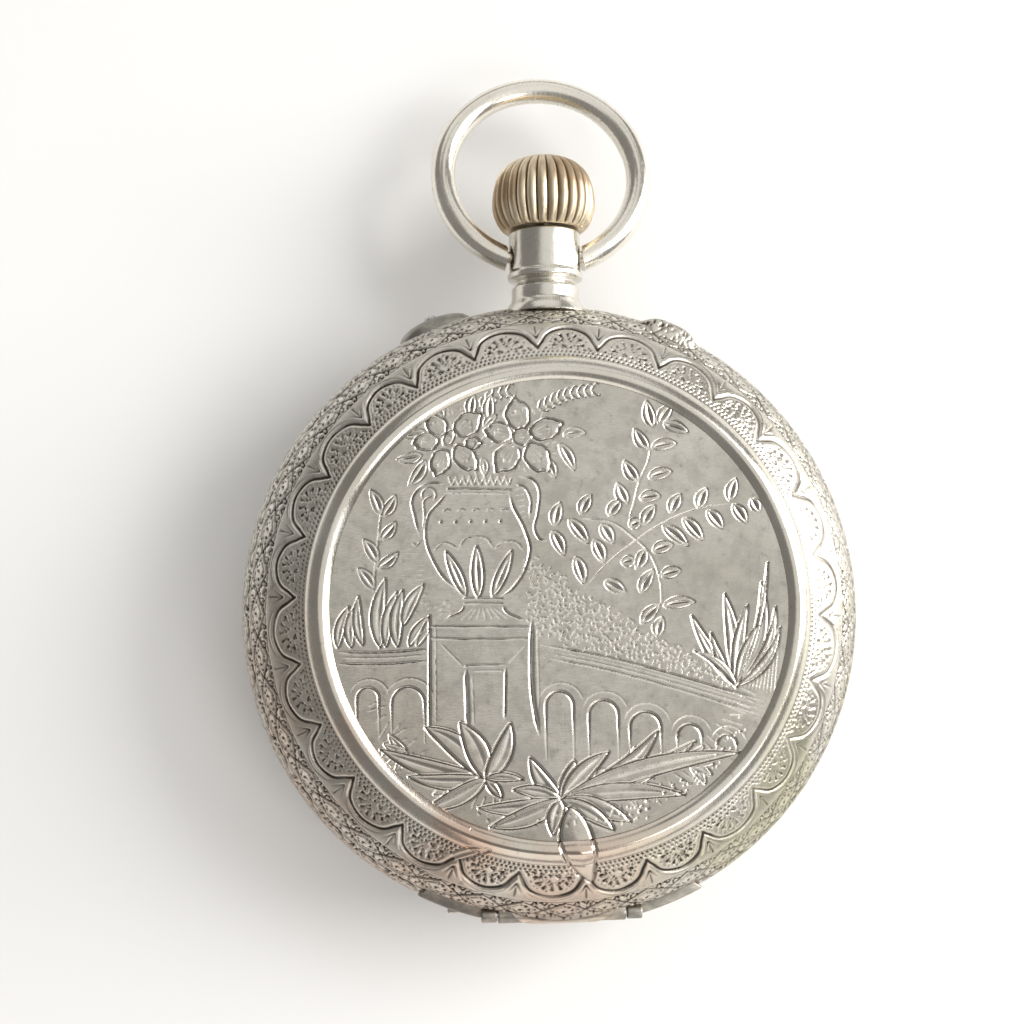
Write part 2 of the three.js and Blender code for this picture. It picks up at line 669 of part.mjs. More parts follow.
// The stem's square passes through both pinions.
const squareHole = () => box([-0.34, 11, STEM_Z - 0.34], [0.34, 14, STEM_Z + 0.34]);

// The winding pinion's teeth stand between the crown wheel's, whose rim passes over its top.
function windingPinion() {
  const wheelStep = (2 * Math.PI) / CROWN_WHEEL_TEETH;
  const towardsPinion = (Math.PI / 2 - crownWheelPhase) / wheelStep;
  const offset = (towardsPinion - Math.round(towardsPinion)) * wheelStep; // of the bearing past a tooth
  const pinionStep = (2 * Math.PI) / WINDING_TEETH;
  const slip = (offset / wheelStep) * pinionStep;
  const outline = toothed(WINDING_TEETH, WINDING_MODULE, Math.PI / 2 + pinionStep / 2 - slip, {
    tip: 0.55, root: 1.1, share: 0.34, flat: 0.12,
  });
  const blank = new THREE.ExtrudeGeometry(outline, { depth: 0.95, bevelEnabled: false });
  const teeth = solidOf(blank.rotateX(-Math.PI / 2).scale(1, -1, -1));
  return cut(teeth.translate([0, 12.97, STEM_Z]), squareHole());
}

function slidingPinion() {
  const outline = [
    [0, 11.2], [0.72, 11.2], [0.72, 11.4], [0.5, 11.45], [0.5, 11.65], [0.72, 11.7], [0.72, 11.92],
    [0, 11.92],
  ];
  return cut(
    turned(outline, SMALL_SIDES, "y").translate([0, 0, STEM_Z]),
    squareHole(),
  );
}

function click() {
  const tip = from(BARREL, 3.48, 149);
  const towards = bearing(CLICK, tip);
  const tail = from(CLICK, 1.2, towards / DEG + 160);
  const beak = new THREE.Shape();
  const left = from(CLICK, 0.55, towards / DEG + 90);
  const right = from(CLICK, 0.55, towards / DEG - 90);
  beak.moveTo(left.x, left.y);
  beak.lineTo(right.x, right.y);
  beak.lineTo(tip.x, tip.y);
  beak.closePath();
  return cut(
    joined(
      slab(beak, 7.55, 7.85),
      disc(0.62, 7.55, 7.85, CLICK, SMALL_SIDES),
      slab(tapered(CLICK, 0.35, tail, 0.18), 7.55, 7.85, 3),
    ),
    disc(0.28, 7, 9, CLICK, HOLE_SIDES),
  );
}

// A bent strip that bears on the click's tail.
function clickSpring() {
  const foot = { x: -9.3, y: 2.7 };
  const bend = { x: -10.7, y: 4.7 };
  const end = { x: -9.85, y: 5.24 };
  return joined(
    slab(tapered(foot, 0.55, bend, 0.11), 7.55, 7.8, 5),
    slab(tapered(bend, 0.11, end, 0.08), 7.55, 7.8, 3),
  );
}

// ---------------------------------------------------------------- going train

const meshPhase = (a, b) => bearing(a, b); // a wheel's tooth faces its pinion
const pinionPhase = (a, b, leaves) => bearing(b, a) + Math.PI / leaves; // a pinion's gap faces its wheel

const centreWheel = () => {
  const body = trainWheel({
    at: CENTRE,
    wheel: {
      teeth: CENTRE_TEETH, module: CENTRE_MODULE, phase: meshPhase(CENTRE, THIRD),
      bottom: 6.4, top: 6.62,
    },
    pinion: {
      leaves: CENTRE_PINION, module: BARREL_MODULE, phase: pinionPhase(BARREL, CENTRE, CENTRE_PINION),
      bottom: 5.35, top: 6.3,
    },
    arms: 5,
    arbor: { shoulder: [2.62, 6.95], pivot: [6.9, 7.9] },
  });
  return joined(body, disc(0.5, 6.2, 6.45, CENTRE, SMALL_SIDES));
};

const thirdWheel = () =>
  trainWheel({
    at: THIRD,
    wheel: {
      teeth: THIRD_TEETH, module: THIRD_MODULE, phase: meshPhase(THIRD, FOURTH),
      bottom: 5.6, top: 5.8,
    },
    pinion: {
      leaves: THIRD_PINION, module: CENTRE_MODULE, phase: pinionPhase(CENTRE, THIRD, THIRD_PINION),
      bottom: 6.25, top: 6.85,
    },
    arbor: { shoulder: [5.3, 6.95], pivot: [4.7, 7.9] },
  });

const fourthWheel = () =>
  trainWheel({
    at: FOURTH,
    wheel: {
      teeth: FOURTH_TEETH, module: FOURTH_MODULE, phase: meshPhase(FOURTH, ESCAPE),
      bottom: 5.97, top: 6.15,
    },
    pinion: {
      leaves: FOURTH_PINION, module: THIRD_MODULE, phase: pinionPhase(THIRD, FOURTH, FOURTH_PINION),
      bottom: 5.45, top: 5.98,
    },
    arbor: { shoulder: [5.3, 6.95], pivot: [4.7, 7.9] },
  });

// A cylinder escape wheel: hooked teeth on a light rim.
function escapeWheel() {
  const points = [];
  const hook = [[1.75, -0.1], [ESCAPE_RADIUS - 0.12, -0.05], [ESCAPE_RADIUS, 0.36], [1.75, 0.2]];
  const step = (2 * Math.PI) / ESCAPE_TEETH;
  for (let i = 0; i < ESCAPE_TEETH; i++) {
    for (const [radius, offset] of hook) {
      const angle = (i + offset) * step;
      points.push(new THREE.Vector2(radius * Math.cos(angle), radius * Math.sin(angle)));
    }
  }
  const outline = crossings(new THREE.Shape(points), 3, 0.75, 1.5, 0.35);
  const pinion = toothed(ESCAPE_PINION, FOURTH_MODULE, pinionPhase(FOURTH, ESCAPE, ESCAPE_PINION), LEAF);
  return placed(
    joined(
      slab(outline, 6.34, 6.5),
      slab(pinion, 5.85, 6.36),
      disc(0.2, 5.3, 6.55, CENTRE, HOLE_SIDES),
      disc(PIVOT_RADIUS, 4.7, 6.8, CENTRE, HOLE_SIDES),
    ),
    ESCAPE,
  );
}

function balanceWheel() {
  const shape = new THREE.Shape();
  shape.absarc(0, 0, BALANCE_RADIUS, 0, 2 * Math.PI, false);
  crossings(shape, 3, 0.8, BALANCE_RADIUS - 0.42, 0.45);
  return placed(
    joined(
      slab(shape, 7.0, 7.4, 18),
      disc(CYLINDER_RADIUS, 5.35, 7.8, CENTRE, SMALL_SIDES),
      disc(PIVOT_RADIUS, 4.7, 8.3, CENTRE, HOLE_SIDES),
    ),
    BALANCE,
  );
}

const hairspring = () =>
  placed(
    cut(joined(spiral(0.55, 2.0, 4, 0.09, 7.56, 7.72), ring(0.4, 0.62, 7.55, 7.75)), disc(0.4, 7, 8.4)),
    BALANCE,
  );

// ---------------------------------------------------------------- regulator and balance jewel

const regulatorBearing = 118;
function regulator() {
  const tail = from(BALANCE, 3.0, regulatorBearing);
  return cut(
    joined(
      slab(tapered(BALANCE, 1.15, tail, 0.12), 8.5, 8.65, 8),
      slab(tapered(BALANCE, 1.0, from(BALANCE, 1.9, regulatorBearing + 180), 0.2), 8.5, 8.65, 6),
    ),
    disc(0.72, 8, 9, BALANCE, SMALL_SIDES),
  );
}

const hairspringStud = () => {
  const at = from(BALANCE, 2.5, 250);
  return cut(
    disc(0.28, 7.5, 7.93, at, HOLE_SIDES),
    box([at.x - 0.06, at.y - 1, 7.4], [at.x + 0.06, at.y + 1, 7.75]),
  );
};

// ---------------------------------------------------------------- dial side

const HOUR_Z = 3.98;

// The minute wheel has a tooth towards the centre. This turns the setting wheel to stand in its gaps.
const minutePitch = (2 * Math.PI) / MINUTE_TEETH;
const settingPitch = (2 * Math.PI) / SETTING_TEETH;
const minuteTurns = (bearing(MINUTE, SETTING_WHEEL) - bearing(MINUTE, CENTRE)) / minutePitch;
const settingSlip = (0.5 + minuteTurns) * settingPitch;

const cannonOutline = toothed(
  CANNON_LEAVES, MOTION_MODULE, pinionPhase(MINUTE, CENTRE, CANNON_LEAVES), LEAF,
);
const cannonPinion = () =>
  cut(
    joined(
      slab(cannonOutline, 4.16, 4.42),
      disc(0.42, 2.5, 4.3, CENTRE, SMALL_SIDES),
    ),
    disc(0.3, 2, 5, CENTRE, SMALL_SIDES),
  );

const settingWheel = () =>
  placed(
    cut(
      slab(toothed(SETTING_TEETH, MOTION_MODULE, bearing(SETTING_WHEEL, MINUTE) + settingSlip), 4.2, 4.38),
      disc(0.26, 3, 5, CENTRE, HOLE_SIDES),
    ),
    SETTING_WHEEL,
  );

const minuteLeaves = toothed(
  MINUTE_LEAVES, MOTION_MODULE, pinionPhase(CENTRE, MINUTE, MINUTE_LEAVES), LEAF,
);
const minuteWheel = () =>
  placed(
    cut(
      joined(
        slab(toothed(MINUTE_TEETH, MOTION_MODULE, meshPhase(MINUTE, CENTRE)), 4.2, 4.38),
        slab(minuteLeaves, 3.96, 4.25),
      ),
      disc(0.26, 3, 5, CENTRE, HOLE_SIDES),
    ),
    MINUTE,
  );

const hourWheel = () =>
  cut(
    joined(
      slab(toothed(HOUR_TEETH, MOTION_MODULE, meshPhase(CENTRE, MINUTE)), HOUR_Z, 4.12),
      disc(0.68, 2.95, 4.1, CENTRE, SMALL_SIDES),
    ),
    disc(0.5, 2, 5, CENTRE, SMALL_SIDES),
  );

const DIAL_RADIUS = 13.9;
const dial = () =>
  cut(
    joined(
      disc(DIAL_RADIUS, 3.35, 3.85, CENTRE, CASE_SIDES),
      ...DIAL_FEET.map((at) => disc(0.3, 3.7, 4.9, at, HOLE_SIDES)),
    ),
    disc(0.85, 3, 4.0, CENTRE, SMALL_SIDES),
  );

// A spade-style hand that points to the given time angle, clockwise from 12 as the dial is read.
function hand(length, eye, clockAngle, bottom, top, hub, bore) {
  const shape = new THREE.Shape();
  shape.moveTo(-0.14, -hub * 0.5);
  shape.lineTo(0.14, -hub * 0.5);
  shape.lineTo(0.18, length * 0.62);
  shape.quadraticCurveTo(eye * 1.6, length * 0.68, 0.16, length * 0.82);
  shape.lineTo(0.03, length);
  shape.lineTo(-0.03, length);
  shape.lineTo(-0.16, length * 0.82);
  shape.quadraticCurveTo(-eye * 1.6, length * 0.68, -0.18, length * 0.62);
  shape.closePath();
  return cut(
    joined(slab(shape, bottom, top, 5), disc(hub, bottom, top, CENTRE, SMALL_SIDES)),
    disc(bore, bottom - 1, top + 1, CENTRE, SMALL_SIDES),
  ).rotate([0, 0, clockAngle]);
}
const SHOWN_HOUR = 10;
const SHOWN_MINUTE = 9;

// ---------------------------------------------------------------- assembly

addPart(caseGroup, "case_band", caseBand(), materials.silver);
addPart(caseGroup, "back_cover", backCover(), materials.silver);
addPart(caseGroup, "dust_cover", dustCover(), materials.silver);
addPart(caseGroup, "bezel", bezel(), materials.silver);
addPart(caseGroup, "crystal", crystal(), materials.glass);
addPart(caseGroup, "rear_hinge_pin", hingePin(REAR_HINGE), materials.steel);
addPart(caseGroup, "front_hinge_pin", hingePin(FRONT_HINGE), materials.steel);
addPart(caseGroup, "pendant", pendant(), materials.silver);
addPart(caseGroup, "crown", crown(), materials.gilt);
addPart(caseGroup, "winding_stem", stem(), materials.steel);
addPart(caseGroup, "pin_guard", pinGuard(), materials.silver);
addPart(caseGroup, "setting_pin", settingPin(), materials.steel);

const bowGroup = new THREE.Group();
bowGroup.position.set(0, BOW_PIVOT_Y, STEM_Z);
bowGroup.rotation.x = BOW_DROOP;
caseGroup.add(bowGroup);
addPart(bowGroup, "bow", bow(), materials.silver);

addPart(movement, "mainplate", mainplate(), materials.brass);
addPart(movement, "barrel_bridge", barrelBridge(), materials.nickel);
addPart(movement, "centre_cock", cock(CENTRE, 1.6, CENTRE_FOOT, 1.8), materials.nickel);
addPart(movement, "third_wheel_cock", cock(THIRD, 1.25, THIRD_FOOT, 1.75), materials.nickel);
addPart(movement, "fourth_wheel_cock", cock(FOURTH, 1.25, FOURTH_FOOT, 1.65), materials.nickel);
addPart(movement, "escape_wheel_cock", cock(ESCAPE, 0.8, ESCAPE_FOOT, 1.3, 6.62, 6.86), materials.nickel);
addPart(movement, "balance_cock", cock(BALANCE, 2.1, BALANCE_FOOT, 1.6, 7.95, 8.45), materials.nickel);

addPart(movement, "barrel_drum", barrelDrum(), materials.brass);
addPart(movement, "barrel_lid", barrelCover(), materials.brass);
addPart(movement, "mainspring", mainspring(), materials.blueSteel);
addPart(movement, "barrel_arbor", barrelArbor(), materials.steel);
addPart(movement, "ratchet_wheel", ratchetWheel(), materials.steel);
addPart(movement, "crown_wheel", crownWheel(), materials.steel);
addPart(movement, "winding_pinion", windingPinion(), materials.steel);
addPart(movement, "sliding_pinion", slidingPinion(), materials.steel);
addPart(movement, "click", click(), materials.steel);
addPart(movement, "click_spring", clickSpring(), materials.steel);
addPart(movement, "setting_lever", settingLever(), materials.steel);

addPart(movement, "centre_wheel", centreWheel(), materials.brass);
addPart(movement, "third_wheel", thirdWheel(), materials.brass);
addPart(movement, "fourth_wheel", fourthWheel(), materials.brass);
addPart(movement, "escape_wheel", escapeWheel(), materials.steel);
addPart(movement, "balance_wheel", balanceWheel(), materials.brass);
addPart(movement, "hairspring", hairspring(), materials.blueSteel);
addPart(movement, "hairspring_stud", hairspringStud(), materials.steel);
addPart(movement, "regulator", regulator(), materials.steel);
addPart(movement, "balance_endstone", disc(0.55, 8.47, 8.62, BALANCE), materials.ruby);

BRIDGE_SCREWS.forEach((at, i) => {
  const solid = screw(at, BRIDGE_TOP + 0.02, { length: 3.2 });
  addPart(movement, `bridge_screw_${i + 1}`, solid, materials.blueSteel);
});
addPart(movement, "centre_cock_screw", screw(CENTRE_FOOT, COCK_TOP + 0.02), materials.blueSteel);
addPart(movement, "third_cock_screw", screw(THIRD_FOOT, COCK_TOP + 0.02), materials.blueSteel);
addPart(movement, "fourth_cock_screw", screw(FOURTH_FOOT, COCK_TOP + 0.02), materials.blueSteel);
addPart(movement, "escape_cock_screw", screw(ESCAPE_FOOT, 6.88, { length: 2.4 }), materials.blueSteel);
addPart(movement, "balance_cock_screw", screw(BALANCE_FOOT, 8.47, { length: 3.8 }), materials.blueSteel);
const ratchetScrew = screw(BARREL, 7.97, { head: 0.9, height: 0.25, length: 0, shank: 0.3 });
const crownWheelScrew = screw(CROWN_WHEEL, 7.97, { head: 0.9, height: 0.25, length: 1.0, shank: 0.28 });
const clickScrew = screw(CLICK, 7.87, { head: 0.5, height: 0.22, length: 0.95, shank: 0.22 });
addPart(movement, "ratchet_screw", ratchetScrew, materials.steel);
addPart(movement, "crown_wheel_screw", crownWheelScrew, materials.steel);
addPart(movement, "click_screw", clickScrew, materials.blueSteel);
CASE_SCREWS.forEach((at, i) =>
  addPart(movement, `case_screw_${i + 1}`, screw(at, PLATE_TOP + 0.02, { length: 1.1 }), materials.blueSteel),
);

addPart(dialSide, "cannon_pinion", cannonPinion(), materials.steel);
addPart(dialSide, "minute_wheel", minuteWheel(), materials.brass);
addPart(dialSide, "setting_wheel", settingWheel(), materials.steel);
addPart(dialSide, "hour_wheel", hourWheel(), materials.brass);
addPart(dialSide, "dial", dial(), materials.enamel);
const minuteAngle = SHOWN_MINUTE * 6;
const hourAngle = SHOWN_HOUR * 30 + SHOWN_MINUTE / 2;
addPart(dialSide, "hour_hand", hand(7.2, 0.75, hourAngle, 3.0, 3.12, 0.95, 0.72), materials.blueSteel);
addPart(dialSide, "minute_hand", hand(10.4, 0.6, minuteAngle, 2.6, 2.72, 0.75, 0.45), materials.blueSteel);

export default watch;
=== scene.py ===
"""A silver fob watch lying on its crystal with its engraved back up.

Lengths are in millimetres until a mesh is made.
"""

import json
import math

import bmesh
import bpy
import numpy as np
from mathutils import Matrix, Vector


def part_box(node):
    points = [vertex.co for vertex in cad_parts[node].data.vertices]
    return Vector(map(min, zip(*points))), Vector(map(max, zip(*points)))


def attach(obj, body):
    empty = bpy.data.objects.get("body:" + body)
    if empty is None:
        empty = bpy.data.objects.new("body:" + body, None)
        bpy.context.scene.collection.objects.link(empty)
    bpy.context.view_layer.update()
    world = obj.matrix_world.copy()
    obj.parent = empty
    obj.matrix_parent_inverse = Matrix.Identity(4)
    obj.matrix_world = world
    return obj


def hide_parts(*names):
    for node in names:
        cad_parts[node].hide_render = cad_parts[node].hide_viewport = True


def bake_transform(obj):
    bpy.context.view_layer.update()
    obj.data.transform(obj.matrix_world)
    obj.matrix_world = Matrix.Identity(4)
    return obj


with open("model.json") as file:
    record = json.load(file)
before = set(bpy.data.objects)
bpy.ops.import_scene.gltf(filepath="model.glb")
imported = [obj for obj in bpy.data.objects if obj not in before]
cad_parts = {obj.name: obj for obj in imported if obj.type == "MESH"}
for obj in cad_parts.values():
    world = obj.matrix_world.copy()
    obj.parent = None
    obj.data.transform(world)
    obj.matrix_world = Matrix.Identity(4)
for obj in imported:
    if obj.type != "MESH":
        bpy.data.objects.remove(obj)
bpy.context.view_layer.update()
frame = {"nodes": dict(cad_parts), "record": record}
MM = 0.001
TAU = 2 * math.pi


def box_mm(node):
    """The lowest and highest corner of a CAD node, in mm."""
    low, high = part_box(node)
    return np.array(low) / MM, np.array(high) / MM


# ---------------------------------------------------------------- driving sizes, from the frame

BACK_TOP = box_mm("back_cover")[1][2]
PARTING = 8.05  # z of the joint between band and cover
DISC_RADIUS = 12.1  # of the plain engraved disc inside the back's ring
STEM_Z = float(sum(box_mm("crown")[i][2] for i in (0, 1)) / 2)
PENDANT_TOP = box_mm("pendant")[1][1]
CROWN_TOP = box_mm("crown")[1][1]
REAR_HINGE = (-16.25, PARTING)  # y and z of its pin
FRONT_HINGE = (-16.15, 3.4)
BARREL_RADIUS, BARREL_BORE = 0.42, 0.27  # of the hinges' barrels
PIN_ANGLE = math.radians(111.6)  # of the setting pin, round the case from +X
PIN_Z = 6.0

# ---------------------------------------------------------------- lines

CORNER_CHORDS = 3  # how many straight pieces go round a softened corner


def smooth(points, per=8):
    """Points along a smooth line through the given ones."""
    p = np.array(points, float)
    if len(p) < 3:
        return p
    ends = np.vstack([2 * p[0] - p[1], p, 2 * p[-1] - p[-2]])
    t = (np.arange(per) / per)[:, None]
    parts = [
        (2 * b + (c - a) * t + (2 * a - 5 * b + 4 * c - d) * t**2 + (3 * b - a - 3 * c + d) * t**3) / 2
        for a, b, c, d in zip(ends, ends[1:], ends[2:], ends[3:])
    ]
    return np.vstack([*parts, p[-1:]])


def evenly(line, count):
    """The line again, as points that stand evenly along it."""
    line = np.array(line, float)
    run = np.concatenate([[0], np.cumsum(np.linalg.norm(np.diff(line, axis=0), axis=1))])
    at = np.linspace(0, run[-1], count)
    return np.stack([np.interp(at, run, line[:, k]) for k in range(line.shape[1])], axis=1)


def softened(outline, radius=0.08, closed=True):
    """An outline with each corner rounded."""
    p = [np.array(q, float) for q in outline]
    made = []
    for i, here in enumerate(p):
        if not closed and i in (0, len(p) - 1):
            made.append(here)
            continue
        before, after = p[i - 1], p[(i + 1) % len(p)]
        a = here + (before - here) * min(0.45, radius / max(np.linalg.norm(before - here), 1e-6))
        b = here + (after - here) * min(0.45, radius / max(np.linalg.norm(after - here), 1e-6))
        for t in np.linspace(0, 1, CORNER_CHORDS + 1):
            made.append(a * (1 - t) ** 2 + 2 * here * t * (1 - t) + b * t**2)
    return np.array(made)


def arc(centre, radius, start, end, count=16):
    """Points round part of a circle, from one bearing in degrees to another."""
    a = np.radians(np.linspace(start, end, count))
    return np.stack([centre[0] + radius * np.cos(a), centre[1] + radius * np.sin(a)], axis=1)


# ---------------------------------------------------------------- engraving


class Engraving:
    """Cuts and raised work on a plain sheet, as heights in mm on a grid."""

    def __init__(self, low, high, step):
        self.low, self.step = np.array(low, float), step
        self.xs = np.arange(low[0], high[0] + step, step)
        self.ys = np.arange(low[1], high[1] + step, step)
        self.height = np.zeros((len(self.ys), len(self.xs)))
        self.cover = np.zeros_like(self.height)  # 1 where a motif hides what lies under it

    def window(self, low, high):
        """The part of the grid between two corners, with its x and y."""
        i = np.searchsorted(self.xs, (low[0], high[0]))
        j = np.searchsorted(self.ys, (low[1], high[1]))
        part = (slice(j[0], j[1]), slice(i[0], i[1]))
        return part, *np.meshgrid(self.xs[part[1]], self.ys[part[0]])

    def cut(self, part, depth):
        """Lowers part of the sheet by a depth, which also takes off most of what stood there."""
        self.height[part] = np.minimum(self.height[part], self.height[part] * 0.3 - depth)

    def groove(self, points, width=0.15, depth=None, lean=0.0, pointed=True, per=6):
        """A cut along a smooth line, with its deepest line off centre by `lean` of its half width."""
        line = smooth(points, per)
        depth = width * 0.36 if depth is None else depth
        part, x, y = self.window(line.min(0) - width, line.max(0) + width)
        if x.size == 0:
            return
        best = np.full(x.shape, 1e9)
        side = np.ones(x.shape)
        along = np.zeros(x.shape)
        count = len(line) - 1
        for k, (a, b) in enumerate(zip(line, line[1:])):
            d = b - a
            square = max(float(d @ d), 1e-12)
            t = np.clip(((x - a[0]) * d[0] + (y - a[1]) * d[1]) / square, 0, 1)
            px, py = x - a[0] - t * d[0], y - a[1] - t * d[1]
            far = np.hypot(px, py)
            near = far < best
            best = np.where(near, far, best)
            side = np.where(near, np.sign(d[0] * py - d[1] * px), side)
            along = np.where(near, (k + t) / count, along)
        half = width / 2
        if pointed:
            half = half * np.clip(np.minimum(along, 1 - along) / 0.18 + 0.25, 0, 1)
        s = side * best / half
        wall = np.where(s < lean, (1 + s) / (1 + lean), (1 - s) / (1 - lean))
        burr = 0.16 * depth * np.exp(-(((np.abs(s) - 1.35) / 0.35) ** 2))
        self.height[part] += burr
        self.cut(part, depth * np.clip(wall, 0, 1) * np.clip(half / (width / 2), 0.4, 1))

    def leaf(self, base, tip, width=0.55, bend=0.0, rib=1.0, raised=0.0, line=0.1):
        """An almond leaf: an outline, and a bright cut down its middle."""
        base, tip = np.array(base, float), np.array(tip, float)
        length = np.linalg.norm(tip - base)
        u = (tip - base) / length
        room = width + abs(bend) * length + 0.3
        part, x, y = self.window(np.minimum(base, tip) - room, np.maximum(base, tip) + room)
        if x.size == 0:
            return
        x, y = x - base[0], y - base[1]
        t = (x * u[0] + y * u[1]) / length
        inner = np.clip(t, 0.001, 0.999)
        across = y * u[0] - x * u[1] - bend * length * 4 * inner * (1 - inner)
        half = width / 2 * np.sin(np.pi * inner**0.85) ** 0.75 + 1e-4
        s = across / half
        inside = (t > 0) & (t < 1) & (np.abs(s) < 1)
        self.height[part] = np.where(inside, 0, self.height[part])
        self.cover[part] = np.where(inside, 1, self.cover[part])
        if raised:
            self.height[part] += np.where(
                inside, 1.8 * raised * (1 - np.abs(s) ** 1.2) * np.sin(np.pi * inner), 0
            )
        ends = (t > -0.02) & (t < 1.02)
        edge = np.where(ends, np.clip(1 - np.abs(np.abs(across) - half) / (line * 0.62), 0, 1), 0)
        self.cut(part, line * 0.55 * edge)
        if rib:
            vein = np.where(inside, np.clip(1 - np.abs(s + 0.08) / 0.5, 0, 1), 0)
            self.cut(part, 0.14 * min(width, 0.5) * rib * vein * np.sin(np.pi * inner) ** 0.5)

    def petal(self, centre, bearing, length, width, raised=0.13, line=0.11):
        """A ruffled petal standing proud, with an outline and a few veins."""
        centre = np.array(centre, float)
        room = max(length, width) * 0.6 + 0.2
        part, x, y = self.window(centre - room, centre + room)
        a = math.radians(bearing)
        p = (x - centre[0]) * math.cos(a) + (y - centre[1]) * math.sin(a)
        q = (y - centre[1]) * math.cos(a) - (x - centre[0]) * math.sin(a)
        turn = np.arctan2(q / width, p / length)
        ruffle = (
            1 + 0.04 * np.cos(5 * turn + bearing) + 0.02 * np.cos(9 * turn)
            + 0.16 * np.exp(-((turn / 0.25) ** 2))
        )
        ring = np.sqrt((p / (length / 2)) ** 2 + (q / (width / 2)) ** 2) / ruffle
        inside = ring < 1
        swell = 2.4 * raised * np.clip(1 - ring**1.4, 0, 1) * (0.4 + 0.6 * np.clip(p / length + 0.5, 0, 1))
        self.height[part] = np.where(inside, swell, self.height[part])
        self.cover[part] = np.where(inside, 1, self.cover[part])
        edge = np.clip(1 - np.abs(ring - 1) * min(length, width) / 2 / (line * 0.75), 0, 1)
        self.cut(part, line * 0.7 * edge)
        ahead, across = np.array([math.cos(a), math.sin(a)]), np.array([-math.sin(a), math.cos(a)])
        for k in (-1, 0, 1):
            foot = centre - ahead * length * 0.46 + across * 0.02 * k
            tip = centre + ahead * length * (0.16 - 0.1 * abs(k)) + across * width * 0.2 * k
            self.groove([foot, (foot + tip) / 2 + across * 0.03 * k, tip], 0.07, 0.02)

    def dot(self, x, y, radius, depth):
        """A round punch mark."""
        part, gx, gy = self.window((x - radius, y - radius), (x + radius, y + radius))
        if gx.size:
            far = np.hypot(gx - x, gy - y) / radius
            self.height[part] -= depth * np.clip(1 - far, 0, 1)

    def wedge(self, start, end, width):
        """A short cut that is wide at its start and runs out to a point."""
        start, end = np.array(start, float), np.array(end, float)
        room = width + 0.05
        part, x, y = self.window(np.minimum(start, end) - room, np.maximum(start, end) + room)
        if x.size == 0:
            return
        length = np.linalg.norm(end - start)
        u = (end - start) / length
        t = ((x - start[0]) * u[0] + (y - start[1]) * u[1]) / length
        across = (y - start[1]) * u[0] - (x - start[0]) * u[1]
        half = width / 2 * np.clip(1 - t, 0.02, 1) * np.clip((t + 0.12) / 0.12, 0, 1) + 1e-4
        depth = 0.42 * half * np.clip(1 - np.abs(across) / half, 0, 1)
        self.cut(part, np.where((t > -0.12) & (t < 1), depth * 1.25, 0))

    def tarnish_and_shade(self, reach_mm=0.16):
        """How far each point lies below what is round it, from 0 to 1. The materials paint these hollows
        darker, as tarnish and painted shade.
        """
        reach = max(1, round(reach_mm / self.step))
        wide = self.height
        for axis in (0, 1, 0, 1):
            padded = np.concatenate(
                [np.take(wide, [0] * reach, axis), wide, np.take(wide, [-1] * reach, axis)], axis
            )
            total = np.cumsum(padded, axis)
            total = np.insert(total, 0, 0, axis)
            span = wide.shape[axis]
            high = np.take(total, np.arange(2 * reach + 1, 2 * reach + 1 + span), axis)
            low = np.take(total, np.arange(0, span), axis)
            wide = (high - low) / (2 * reach + 1)
        return np.clip((wide - self.height) / 0.028, 0, 1)

    def sample(self, grid, x, y):
        """The values of a grid at these places."""
        fx = np.clip((x - self.low[0]) / self.step, 0, len(self.xs) - 1.001)
        fy = np.clip((y - self.low[1]) / self.step, 0, len(self.ys) - 1.001)
        i, j = fx.astype(int), fy.astype(int)
        a, b = fx - i, fy - j
        top = grid[j, i] * (1 - a) + grid[j, i + 1] * a
        bottom = grid[j + 1, i] * (1 - a) + grid[j + 1, i + 1] * a
        return top * (1 - b) + bottom * b


rng = np.random.default_rng(7)


def leaves(e, rows, **look):
    """Leaves, each from a base to a tip, with its width."""
    for base, tip, width in rows:
        e.leaf(base, tip, width, **look)


def spray(e, base, rows, **look):
    """Leaves from one base, each with its tip's x and y, its width and its bend."""
    for x, y, width, bend in rows:
        e.leaf(base, (x, y), width, bend=bend, **look)


def bloom(e, middle, petals):
    """Petals round a middle, each with its bearing in degrees, distance, length and width."""
    for bearing, far, length, width in petals:
        a = math.radians(bearing)
        at = (middle[0] + far * math.cos(a), middle[1] + far * math.sin(a))
        e.petal(at, bearing, length, width, 0.09)


